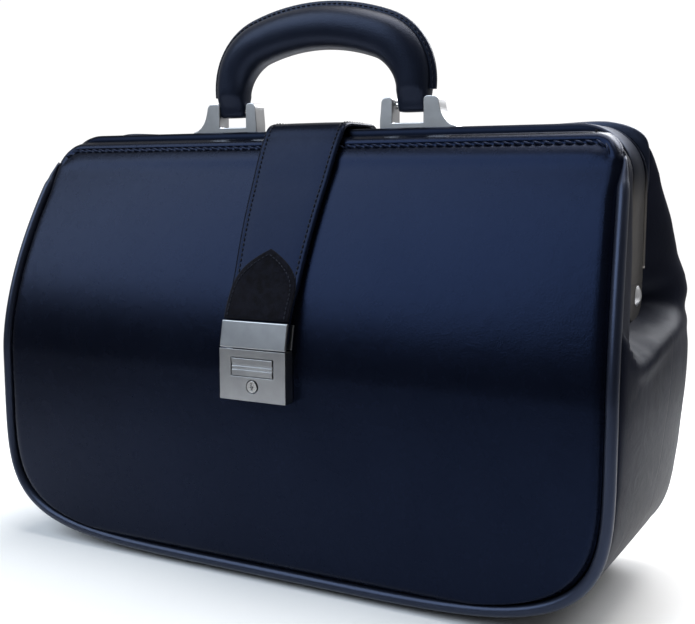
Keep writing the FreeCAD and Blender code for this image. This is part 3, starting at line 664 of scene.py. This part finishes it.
def strip_columns(side, edge, z):
    """Y places across one half of the strip, from its piping to just past the middle."""
    leg = min(LEG_EDGE, edge * 0.9)
    if side == FRONT:
        fold = min(table_at(FRONT_FOLD, z), max(edge - LEG_EDGE - 1, 0.5) * 0.5)
        outer = [edge - fold * i / 6 for i in range(7)]
        outer += [between(edge - fold, leg, i / 16) for i in range(1, 17)]
    else:
        outer = [between(edge, leg, i / 22) for i in range(23)]
    inner = [leg * (1 - i / 10) for i in range(1, 11)]
    return [side * y for y in outer + inner + [-OVERLAP]]


def strip_out(y, z, edge, reach):
    """How far the strip stands out: it runs over the base, up the gusset and in over the frame's legs."""
    if z < 30:
        return table_at(BULGE, z) * (1 - (y / edge) ** 2)
    if z <= SHOULDER_START:
        return gusset_out(y, z, edge, reach)
    out = gusset_out(y, SHOULDER_START, max(edge, LEG_EDGE + 1), reach)
    over = -LEG_POCKET * smooth_step(LEG_EDGE + 2, LEG_EDGE - 2, abs(y))
    return between(out, over, smooth_step(SHOULDER_START, SHOULDER_END, z))


def strip_rows(side):
    outline = right_outline(STRIP_INSET, SHOULDER_START)
    reach = outline[-1][0]
    if side == REAR:
        outline += [(reach, z) for z in (226.0, 229.0)]
    outline += corner_arc(reach, STRIP_TOP, STRIP_CORNERS[side], 12, 84)
    right = [(0.0, outline[0][1])] + outline
    full = [(-x, z) for x, z in right[:0:-1]] + right
    rows = []
    for i, (x, z) in enumerate(full):
        a, b = Vector(full[max(i - 1, 0)]), Vector(full[min(i + 1, len(full) - 1)])
        along = (b - a).normalized()
        normal = Vector((along.y, -along.x))
        edge = max(depth_at(z) - STRIP_EDGE_IN, STRIP_LEAST)
        row = []
        for y in strip_columns(side, edge, z):
            out = strip_out(y, z, edge, abs(x)) - (OVERLAP_SUNK if y * side < 0 else 0.0)
            row.append((x + normal.x * out, y, z + normal.y * out))
        rows.append(row)
    return rows


for side in (FRONT, REAR):
    tag = NAMES[side]
    points, faces = grid(strip_rows(side), flip=side == REAR)
    strip = soft_shell(piece(f"{tag}_side_leather", points, faces, [SIDE_CALF_PAINTED_PALER, LINING], "leather_navy"),
                       STRIP_THICK)
    follow_frame(strip)
    gussets = [f"{tag}_gusset_{end}" for end in ENDS.values()]
    shared = ["base_leather"] + [f"{end}_gusset_lower" for end in ENDS.values()]
    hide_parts(*gussets, *shared)

# ---- the pleats that fold inwards between the legs ----

PLEAT_LOW, PLEAT_HIGH, PLEAT_DEPTH, PLEAT_THICK = 167.0, 236.0, 11.0, 1.2
PLEAT_FOLD = ((PLEAT_LOW, 1.0), (185, 17.0), (215, 22.0), (PLEAT_HIGH, 8.0))


def pleat_rows(side, end):
    rows = []
    for i in range(19):
        z = between(PLEAT_LOW, PLEAT_HIGH, i / 18)
        row = []
        for t in (j / 12 for j in range(13)):
            x = TUCK - 0.6 - table_at(PLEAT_FOLD, z) * (1 - t) ** 1.3
            row.append((end * x, side * PLEAT_DEPTH * t, z + 1.5 * math.sin(3 * math.pi * t) * (1 - t)))
        rows.append(row)
    return rows


for end, end_name in ENDS.items():
    for side in (FRONT, REAR):
        points, faces = grid(pleat_rows(side, end), flip=side * end < 0)
        fold = soft_shell(piece(f"{end_name}_{NAMES[side]}_pleat", points, faces, [SIDE_CALF_PAINTED_PALER, LINING],
                                "leather_navy"), PLEAT_THICK)
        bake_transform(fold)
        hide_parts(f"{end_name}_pleat")

# ---- frame halves ----

EAR_PLATE = 3.8
BOWS = {FRONT: ((-16.4, 11.5), 170.5, 3.2), REAR: ((11.8, 16.4), 177.0, 1.6)}
EAR_OUTER = {FRONT: FRAME_REACH - 0.15, REAR: FRAME_REACH - 4.3}


def bow_ring(x, z, normal, y_low, y_high, bar, round_edge):
    """A rounded rectangular section across the bow."""
    section = []
    half = bar / 2
    shift = (FRAME_BAR - bar) / 2
    round_edge = min(round_edge, half * 0.8)
    for n, y, start in ((half, y_high, 0), (-half, y_high, 90), (-half, y_low, 180), (half, y_low, 270)):
        centre_n = n - math.copysign(round_edge, n)
        centre_y = y - round_edge if y == y_high else y + round_edge
        for step in range(4):
            a = math.radians(start + 30 * step)
            section.append((shift + centre_n + round_edge * math.cos(a), centre_y + round_edge * math.sin(a)))
    return [(x + normal[0] * n, y, z + normal[1] * n) for n, y in section]


def bow(y_low, y_high, foot, round_edge):
    """One half of the frame, from foot to foot; its legs are thinned to the ear's plate near the pivot."""
    half = FRAME_BAR / 2
    reach, top, corner = FRAME_REACH - half, FRAME_TOP - half, FRAME_CORNER - half
    right = [((reach, z), (1.0, 0.0), EAR_PLATE) for z in (foot, foot + 0.6, 177.6)]
    right += [((reach, z), (1.0, 0.0), FRAME_BAR) for z in (179.4, 180.0, 195.0, 210.0, top - corner)]
    for a in (math.radians(90 * i / 16) for i in range(1, 17)):
        nx, nz = math.cos(a), math.sin(a)
        right.append(((reach - corner + corner * nx, top - corner + corner * nz), (nx, nz), FRAME_BAR))
    right += [((x, top), (0.0, 1.0), FRAME_BAR) for x in (110, 80, 40)]
    left = [((-x, z), (-nx, nz), bar) for (x, z), (nx, nz), bar in right[::-1]]
    path = right + [((0.0, top), (0.0, 1.0), FRAME_BAR)] + left
    return loft([bow_ring(x, z, n, y_low, y_high, bar, round_edge) for (x, z), n, bar in path])


def leg_outline(side):
    """The ear at a leg's foot, round the pivot, as points (y, z)."""
    if side == FRONT:
        made = [(11.3, 179.0), (11.5, PIVOT + 4)] + arc_points(0, PIVOT, 11.6, 5, -65, 8)[1:]
        made += [(1.5, 152.6), (-1.0, 150.8), (-11.0, 151.6), (-13.2, 153.6)]
        return made + [(-14.4, 165.0), (-16.2, 179.0)]
    made = [(16.2, 179.0), (11.8, 179.0), (8.4, 178.0), (8.0, 176.0), (-6.0, 173.0)]
    return made + arc_points(0, PIVOT, 11.8, 200, 335, 12) + [(15.8, PIVOT + 3)]


for side, (y_range, foot, edge) in BOWS.items():
    tag = NAMES[side]
    bar = outward(piece(f"{tag}_frame_bow", *bow(*y_range, foot, edge), STEEL, "frame_steel"))
    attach(bar, HALVES[side])
    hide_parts(f"{tag}_frame")
    for end, end_name in ENDS.items():
        low, high = sorted((end * EAR_OUTER[side], end * (EAR_OUTER[side] - EAR_PLATE)))
        leg = piece(f"{tag}_frame_ear_{end_name}", *outline_prism(leg_outline(side), "x", low, high),
                    STEEL, "frame_steel")
        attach(bevelled(leg, 1.0), HALVES[side])
        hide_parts(f"{tag}_frame")

# ---- the rear leather's ears, which stand a little above the frame at its corners ----

EAR_TOP = ((112, 252.7), (125, 252.8), (140, 253.6), (158, 254.2), (168, 253.0), (176, 250.4), (181.0, 247.2),
           (183.6, 243.6), (184.8, 238.0), (185.0, 230.0), (184.6, 220.0), (183.2, 209.0), (181.0, 200.0))


def frame_edge_near(x, z, inset):
    """The point on the frame's outer edge, less an inset, that lies nearest to a point outside it."""
    centre = (FRAME_REACH - FRAME_CORNER, FRAME_TOP - FRAME_CORNER)
    radius = FRAME_CORNER - inset
    if x < centre[0]:
        return x, FRAME_TOP - inset
    if z < centre[1]:
        return FRAME_REACH - inset, z
    away = Vector((x - centre[0], z - centre[1])).normalized() * radius
    return centre[0] + away.x, centre[1] + away.y


def leather_ear_ring(end, p):
    """A section from inside the frame's edge, out to the leather's own edge and back behind it."""
    inner_x, inner_z = frame_edge_near(p.x, p.z, 7.0)
    mid_x, mid_z = between(inner_x, p.x, 0.75), between(inner_z, p.z, 0.75)
    back = min(depth_at(min(p.z, STRIP_TOP)) - 1.0, 34.0)
    section = ((inner_x, 16.6, inner_z), (mid_x, 16.8, mid_z), (p.x, 17.8, p.z), (p.x + 0.1, 19.2, p.z - 0.4),
               (mid_x, max(back, 20.6), mid_z - 1.0), (inner_x, max(back, 19.5), inner_z))
    return [(end * x, y, z) for x, y, z in section]


for end, end_name in ENDS.items():
    rings = [leather_ear_ring(end, p) for p in path_through([(x, 0, z) for x, z in EAR_TOP], 4)]
    ear = outward(piece(f"rear_leather_ear_{end_name}", *loft(rings), PIPING, "leather_navy"))
    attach(smoothed(ear), "rear_half")

# ---- rope stitching under the folded top band ----

ROPE_BELOW, ROPE_LIFT = BAND + 1.0, 0.5
ROPE_STITCH = {"pitch": 5.4, "length": 5.0, "radius": 0.68, "lift": 0.4, "slant": (0, 0, -0.9)}


def rope_line(side):
    """The rope's path below the band, turned down a little way at both corners."""
    reach = reach_at(PANEL_TOP - PANEL_CORNER, PANEL_INSET) + PANEL_FLARE - PANEL_CORNER
    turn = arc_points(reach, PANEL_TOP - PANEL_CORNER, PANEL_CORNER - ROPE_BELOW, 90, 30, 5)
    half = [(x, side * (depth_at(z) + ROPE_LIFT), z) for x, z in turn]
    return [(-x, y, z) for x, y, z in half[::-1]] + half


for side in (FRONT, REAR):
    line = rope_line(side)
    points, faces = stitch_run(line, [(0, side, 0.55)] * (len(line) - 1), **ROPE_STITCH)
    rope = piece(f"{NAMES[side]}_rope_stitching", points, faces, ROPE, "leather_navy")
    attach(outward(rope), HALVES[side])

# ---- strap ----

ACROSS = Vector((1, 0, 0))
STRAP_THICK, STITCH_INSET = 3.4, 3.6
STRAP_HALF = 26.0
STRAP_FRONT_HALF = ((133, 20.7), (148, 21.0), (250, STRAP_HALF))
STRAP_STITCH = {"pitch": 3.0, "length": 2.1, "radius": 0.42, "lift": 0.35}


def strap_offset(z):
    """How far the strap's middle stands off the front panel."""
    return 2.5 + 1.2 * smooth_step(222, 240, z) + 3.6 * smooth_step(172, 148, z)


def strap_path():
    rear = [(0, depth_at(z) + 2.4, z) for z in (209, 218, 227, 236, 244)]
    over = [(0, 19.6, 250.4), (0, 15.5, 253.4), (0, 8.0, 253.8), (0, -4.0, 253.8), (0, -13.0, 253.7),
            (0, -19.0, 252.0)]
    front = [(0, -depth_at(z) - strap_offset(z), z)
             for z in (246, 240, 232, 222, 210, 198, 186, 175, 165, 156)]
    end = [(0, -70.6, 148.0), (0, -72.2, 141.0), (0, -73.2, 136.2)]
    return path_through(rear + over + front + end, 5)


STRAP_LINE = strap_path()
STRAP_NORMALS = [along.cross(ACROSS).normalized() for along in directions(STRAP_LINE)]


def strap_half_at(p):
    return table_at(STRAP_FRONT_HALF, p.z) if p.y < 0 else STRAP_HALF


def strap_ring(p, normal):
    """A section with rounded edges, a slight crown, and a groove under each row of stitches."""
    half, face = strap_half_at(p), STRAP_THICK / 2
    edge, groove = STRAP_THICK * 0.42, half - STITCH_INSET
    top = [(-half, 0.0), (-half + 0.25, face - edge * 0.4), (-half + edge, face), (-groove - 0.9, face),
           (-groove, face - 0.32), (-groove + 0.9, face), (-half * 0.4, face + 0.15)]
    top += [(-x, t) for x, t in top[::-1]]
    bottom = [(x, -face) for x in (half - edge, half * 0.4, -half * 0.4, -half + edge)]
    return [tuple(p + ACROSS * x + normal * t) for x, t in top + bottom]


rings = [strap_ring(p, n) for p, n in zip(STRAP_LINE, STRAP_NORMALS)]
strap = smoothed(outward(piece("strap_leather", *loft(rings), STRAP, "leather_strap")))
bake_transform(strap)
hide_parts("strap", "strap_tail")

shapes = []
sewn = [(p, n) for p, n in zip(STRAP_LINE, STRAP_NORMALS) if p.y <= 8 and p.z >= 149.5]
for hand in (LEFT, RIGHT):
    line = [p + ACROSS * hand * (strap_half_at(p) - STITCH_INSET) + n * (STRAP_THICK / 2 - 0.25)
            for p, n in sewn]
    shapes.append(stitch_run(line, [n for _, n in sewn], **STRAP_STITCH))
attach(outward(piece("strap_stitching", *join_shapes(shapes), THREAD, "leather_strap")), "strap_arm")

# ---- suede tab ----

TAB_FOOT, TAB_SPRING, TAB_TIP, TAB_HALF = 148.4, 161.0, 185.6, 20.4
TAB_UNDER, TAB_FACE, TAB_EDGE_DROP = 0.05, 1.5, 0.6
TAB_SHARES = (-1, -0.97, -0.9, -0.8, -0.5, 0, 0.5, 0.8, 0.9, 0.97, 1)
TAB_STITCH = {"pitch": 2.6, "length": 1.8, "radius": 0.36, "lift": 0.2}


def tab_half(z):
    """Half the tab's width: straight sides that curve in to a point."""
    if z < TAB_SPRING:
        return TAB_HALF
    return TAB_HALF * (1 - ((z - TAB_SPRING) / (TAB_TIP - TAB_SPRING)) ** 2.5)


def tab_point(x, z, lift):
    return (x, -depth_at(z) - strap_offset(z) - STRAP_THICK / 2 - lift, z)


def tab_ring(z):
    half = max(tab_half(min(z, TAB_TIP - 0.05)), 0.12)
    face = [tab_point(half * s, z, TAB_FACE - TAB_EDGE_DROP * abs(s) ** 12) for s in TAB_SHARES]
    return face + [tab_point(half * s, z, TAB_UNDER) for s in TAB_SHARES[::-1]]


heights = [between(TAB_FOOT, TAB_SPRING, i / 6) for i in range(6)]
heights += [TAB_TIP - (TAB_TIP - TAB_SPRING) * (1 - i / 20) ** 1.5 for i in range(21)]
tab = outward(piece("strap_suede_tab", *loft([tab_ring(z) for z in heights]), SUEDE, "suede_black"))
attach(tab, "strap_arm")
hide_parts("strap_tab")
shapes = []
sewn = [between(TAB_FOOT + 1.0, TAB_TIP - 3.4, i / 39) for i in range(40)]
for hand in (LEFT, RIGHT):
    line = [tab_point(hand * max(tab_half(min(z + 1.6, TAB_TIP)) - 2.2, 0.0), z, TAB_FACE - 0.05)
            for z in sewn]
    shapes.append(stitch_run(line, [(0, -1, 0.3)] * (len(line) - 1), **TAB_STITCH))
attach(outward(piece("tab_stitching", *join_shapes(shapes), THREAD, "suede_black")), "strap_arm")

# ---- hasp ----

HASP_FOOT, HASP_TOP, HASP_LEAN = 133.1, 147.9, 11.0
LOCK_HALF, LOCK_FACE = 21.0, -77.6


def leaned(shape):
    """A shape turned back about the hasp's foot, to lie along the strap."""
    points, faces = shape
    turn = Matrix.Rotation(math.radians(-HASP_LEAN), 4, "X")
    pivot = Vector((0, LOCK_FACE, HASP_FOOT))
    return [tuple(pivot + turn @ (Vector(p) - pivot)) for p in points], faces


def hasp_part(name, half, y, z, material, slot, edge):
    shape = leaned(block((-half, half), (LOCK_FACE + y[0], LOCK_FACE + y[1]), z))
    part = bevelled(piece(name, *shape, material, slot), edge)
    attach(part, "strap_arm")
    return part


hasp_front = hasp_part("hasp_front", LOCK_HALF, (0, 2.2), (HASP_FOOT, HASP_TOP),
                       NICKEL, "satin_nickel", 0.7)
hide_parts("hasp_front_plate")
hasp_back = hasp_part("hasp_back", LOCK_HALF, (6.2, 7.8), (HASP_FOOT + 1.3, HASP_TOP),
                      NICKEL, "satin_nickel", 0.5)
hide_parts("hasp_back_plate")
tongue = hasp_part("hasp_tongue", 7.0, (6.0, 7.3), (HASP_FOOT - 3.9, HASP_FOOT + 2.0),
                   BRIGHT, "polished_nickel", 0.35)
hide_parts("hasp_back_plate")

# ---- lock ----

LOCK_BACK, LOCK_FOOT, LOCK_TOP = -69.9, 104.5, 132.4
CUT_FROM = LOCK_FACE - 1
WINDOW_HALF, WINDOW_Z, WINDOW_DEEP = 13.6, (117.7, 128.1), 4.8
BUTTON_HALF, BUTTON_Y, BUTTON_Z = 12.95, (LOCK_FACE - 0.25, LOCK_FACE + 2.6), (118.2, 127.6)
GROOVE_FEET, GROOVE_WIDE, GROOVE_DEEP = (121.4, 123.4), 0.9, 0.5
KEY_Z, KEY_RADIUS, KEYWAY_RADIUS, KEYWAY_DEEP, SLOT_DEEP = 112.6, 3.2, 3.85, 3.2, 1.8

shape = block((-LOCK_HALF, LOCK_HALF), (LOCK_FACE, LOCK_BACK), (LOCK_FOOT, LOCK_TOP))
case = outward(piece("lock_housing", *shape, NICKEL, "satin_nickel"))
carve(case, [
    block((-WINDOW_HALF, WINDOW_HALF), (CUT_FROM, LOCK_FACE + WINDOW_DEEP), WINDOW_Z),
    rod_y(0, KEY_Z, KEYWAY_RADIUS, (CUT_FROM, LOCK_FACE + KEYWAY_DEEP)),
    block((-7.8, 7.8), (LOCK_FACE + 1.6, LOCK_BACK - 0.5), (LOCK_TOP - 4, LOCK_TOP + 2)),
])
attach(bevelled(case, 0.55, 2), "bag_body")
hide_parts("lock_case")

shape = block((-BUTTON_HALF, BUTTON_HALF), BUTTON_Y, BUTTON_Z)
button = outward(piece("push_button", *shape, NICKEL, "satin_nickel"))
groove_x, groove_y = (-BUTTON_HALF - 1, BUTTON_HALF + 1), (CUT_FROM, LOCK_FACE + GROOVE_DEEP)
carve(button, [block(groove_x, groove_y, (z, z + GROOVE_WIDE)) for z in GROOVE_FEET])
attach(bevelled(button, 0.22, 2), "button")
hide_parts("lock_button")

shape = rod_y(0, KEY_Z, KEY_RADIUS, (LOCK_FACE - 0.35, LOCK_FACE + 4.2))
key = outward(piece("key_barrel", *shape, BRIGHT, "polished_nickel"))
slot_y = (CUT_FROM, LOCK_FACE + SLOT_DEEP)
carve(key, [rod_y(0, KEY_Z, 1.1, slot_y, 20), block((-0.45, 0.45), slot_y, (KEY_Z - 2.2, KEY_Z + 2.2))])
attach(bevelled(key, 0.3, 2), "key")
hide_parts("key_cylinder")

# ---- handle brackets ----

BRACKET_Y = (-8.1, 1.9)


def bracket_outline():
    """A foot, a narrow inner ear, the pin's slot, and an outer ear that flares down to the foot."""
    inner = [(41.2, 251.3), (41.2, 256.0), (41.9, 264.0)] + arc_points(45.0, 265.6, 3.0, 172, 90, 6)
    inner += arc_points(46.6, 266.4, 2.2, 88, 5, 5) + [(48.9, 262.0), (48.9, 254.4)]
    outer = [(67.8, 254.4), (67.8, 262.0)] + arc_points(70.0, 266.6, 2.2, 178, 95, 5)
    outer += arc_points(73.6, 265.4, 3.3, 88, 20, 6)
    flare = [(77.4, 263.2), (78.3, 260.0), (79.7, 257.2), (81.6, 254.9), (84.0, 253.1), (87.3, 252.1),
             (87.6, 251.3)]
    return inner + outer + flare


for end, end_name in ENDS.items():
    outline = [(end * x, z) for x, z in bracket_outline()]
    bracket = piece(f"{end_name}_bracket", *outline_prism(outline, "y", *BRACKET_Y), NICKEL_PAINTED_PALER, "satin_nickel")
    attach(bevelled(bracket, 0.7, 3, 40), "front_half")
    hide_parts(f"{end_name}_handle_bracket")

# ---- handle ----

HANDLE_Y, GRIP_LEG, GRIP_TOP, CROWN, TURN = -3.1, 60.1, 309.4, 120.0, 30.0
LUG_ACROSS, GRIP_ACROSS = 9.3, 12.0
LUG_DEEP, NECK_DEEP, GRIP_DEEP = 5.2, 9.8, 11.6
FIN_HALF = ((-2.5, 2.6), (0.6, 1.75), (2.7, 1.45), (3.3, 0.9))
FIN_FOOT, FIN_SEAM = 272.0, 1.7
HANDLE_STITCH = {"pitch": 3.4, "length": 2.4, "radius": 0.42, "lift": 0.3}


def grip_line():
    """Centre of the grip as (x, z, outward normal), from the left lug to the right one."""
    lean = math.asin((GRIP_LEG - TURN) / (CROWN - TURN))
    crown_z = GRIP_TOP - CROWN
    cx, cz = (CROWN - TURN) * math.sin(lean), crown_z + (CROWN - TURN) * math.cos(lean)
    right = [(0.0, GRIP_TOP, 0.0, 1.0)]
    for i in range(1, 9):
        a = lean * i / 8
        right.append((CROWN * math.sin(a), crown_z + CROWN * math.cos(a), math.sin(a), math.cos(a)))
    for i in range(1, 15):
        a = lean + (math.pi / 2 - lean) * i / 14
        right.append((cx + TURN * math.sin(a), cz + TURN * math.cos(a), math.sin(a), math.cos(a)))
    right += [(GRIP_LEG, z, 1.0, 0.0) for z in (272.5, 269.0, 265.5, 262.6, 261.0, 260.2)]
    return [(-x, z, -nx, nz) for x, z, nx, nz in right[:0:-1]] + right


def swell_at(z):
    return smooth_step(262, 300, z)


def grip_ring(x, z, nx, nz):
    """A padded section: flat and narrow at the lugs, full over the hand, and peaked under the fin."""
    across = between(LUG_ACROSS, GRIP_ACROSS, swell_at(z)) * (1 - 0.1 * smooth_step(262.0, 260.0, z))
    deep = between(LUG_DEEP, NECK_DEEP, smooth_step(264, 276, z))
    deep += (GRIP_DEEP - NECK_DEEP) * smooth_step(276, 305, z)
    deep *= 1 - 0.3 * smooth_step(262.5, 260.0, z)
    soft = 0.86 if z > 274 else 0.7
    ring = []
    for c, s in circle(1.0, 28):
        n = math.copysign(abs(c) ** soft, c) * across + 0.9 * swell_at(z) * max(0.0, c) ** 8
        y = math.copysign(abs(s) ** soft, s) * deep
        ring.append((x + nx * n, HANDLE_Y + y, z + nz * n))
    return ring


GRIP_LINE = grip_line()
grip = outward(piece("handle_leather_grip", *loft([grip_ring(*p) for p in GRIP_LINE]), GRIP,
                     "leather_handle"))
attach(smoothed(grip), "handle")
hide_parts("handle_grip", "handle_core")

fin_rings, seams = [], {LEFT: [], RIGHT: []}
for x, z, nx, nz in GRIP_LINE:
    if z < FIN_FOOT:
        continue
    rim = between(LUG_ACROSS, GRIP_ACROSS, swell_at(z))
    section = [(rim + out, y) for out, y in FIN_HALF]
    section += [(n, -y) for n, y in section[::-1]]
    fin_rings.append([(x + nx * n, HANDLE_Y + y, z + nz * n) for n, y in section])
    for hand, seam in seams.items():
        seam.append((x + nx * (rim + FIN_SEAM), HANDLE_Y + hand * 1.6, z + nz * (rim + FIN_SEAM)))
fin = outward(piece("handle_welt", *loft(fin_rings), GRIP, "leather_handle"))
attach(bevelled(fin, 0.25, 2, 50), "handle")
shapes = [stitch_run(seam, [(0, hand, 0)] * (len(seam) - 1), **HANDLE_STITCH) for hand, seam in seams.items()]
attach(outward(piece("handle_stitching", *join_shapes(shapes), THREAD, "leather_handle")), "handle")

# ---- finishes of the CAD nodes that stay ----

FINISHES = {
    "base_board": BOARD, "left_end_board": BOARD, "right_end_board": BOARD, "base_studs": BRIGHT,
    "pivot_rivets": NICKEL_PAINTED_PALER, "handle_pins": BRIGHT, "lock_rivets": DARK_STEEL, "hasp_rivets": DARK_STEEL,
    "strap_rivets": BRIGHT, "lock_back_plate": DARK_STEEL, "latch_bolt": DARK_STEEL,
}
for name, material in FINISHES.items():
    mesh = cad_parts[name].data
    mesh.materials.clear()
    mesh.materials.append(material)

# ---- camera, floor and lights ----

camera = bpy.data.objects.new("camera", bpy.data.cameras.new("camera"))
bpy.context.scene.collection.objects.link(camera)
camera.location = (0.3133, -0.5454, 0.2220)
camera.rotation_euler = (math.radians(83.0), 0, math.radians(28.575))
camera.data.lens = 54.95
camera.data.sensor_width = 36
bpy.context.scene.camera = camera

FLOOR_REACH, FLOOR_SIDES, FLOOR_FADE = 1000.0, 96, (0.38, 0.8)
paper, tree, shader = nodes_of("floor_paper")
point = object_point(tree)
tree.links.new(ramp(tree, noise(tree, point, 3, 2), (0.86, 0.86, 0.86), (0.88, 0.88, 0.88)),
               shader.inputs["Base Color"])
shader.inputs["Roughness"].default_value = 0.9
shader.inputs["Specular IOR Level"].default_value = 0.0
away = add(tree, "ShaderNodeVectorMath", operation="LENGTH")
tree.links.new(point, away.inputs[0])
tree.links.new(eased(tree, away.outputs["Value"], *FLOOR_FADE, 1.0, 0.0), shader.inputs["Alpha"])
disc = [(x, y, 0.0) for x, y in circle(FLOOR_REACH, FLOOR_SIDES)]
piece("floor", disc, [tuple(range(FLOOR_SIDES))], paper)


def lamp(name, place, aim, size, power, tone):
    light = bpy.data.lights.new(name, "AREA")
    light.shape = "RECTANGLE"
    light.size, light.size_y = size
    light.energy = power
    light.color = tone
    obj = bpy.data.objects.new(name, light)
    bpy.context.scene.collection.objects.link(obj)
    obj.location = place
    obj.rotation_euler = (Vector(aim) - Vector(place)).to_track_quat("-Z", "Y").to_euler()


lamp("sky_panel", (-1.3, -1.7, 1.95), (0, 0, 0.15), (2.3, 2.3), 78, (0.77, 0.88, 1.0))
lamp("top_panel", (0.1, 0.3, 2.3), (0.1, 0.0, 0), (1.6, 1.6), 42, (1.0, 0.98, 0.95))
lamp("back_panel", (0.5, 1.7, 1.6), (0.1, 0, 0.1), (1.8, 1.2), 60, (0.97, 0.98, 1.0))

# The world is white to the camera, and dims from the back to the front for reflections.

DIM_FRONT, BRIGHT_BACK, SEEN_WHITE = 0.08, 0.36, 1.05
world = bpy.data.worlds.new("studio")
bpy.context.scene.world = world
world.use_nodes = True
tree = world.node_tree
background = tree.nodes["Background"]
depth = part_of(tree, add(tree, "ShaderNodeTexCoord").outputs["Generated"], "Y")
glow = eased(tree, depth, -0.4, 0.35, DIM_FRONT, BRIGHT_BACK)
seen = combine(tree, "MULTIPLY", add(tree, "ShaderNodeLightPath").outputs["Is Camera Ray"], SEEN_WHITE)
tree.links.new(combine(tree, "MAXIMUM", glow, seen), background.inputs["Strength"])
background.inputs["Color"].default_value = (1.0, 1.0, 1.0, 1)
bpy.context.scene.view_settings.view_transform = "Standard"
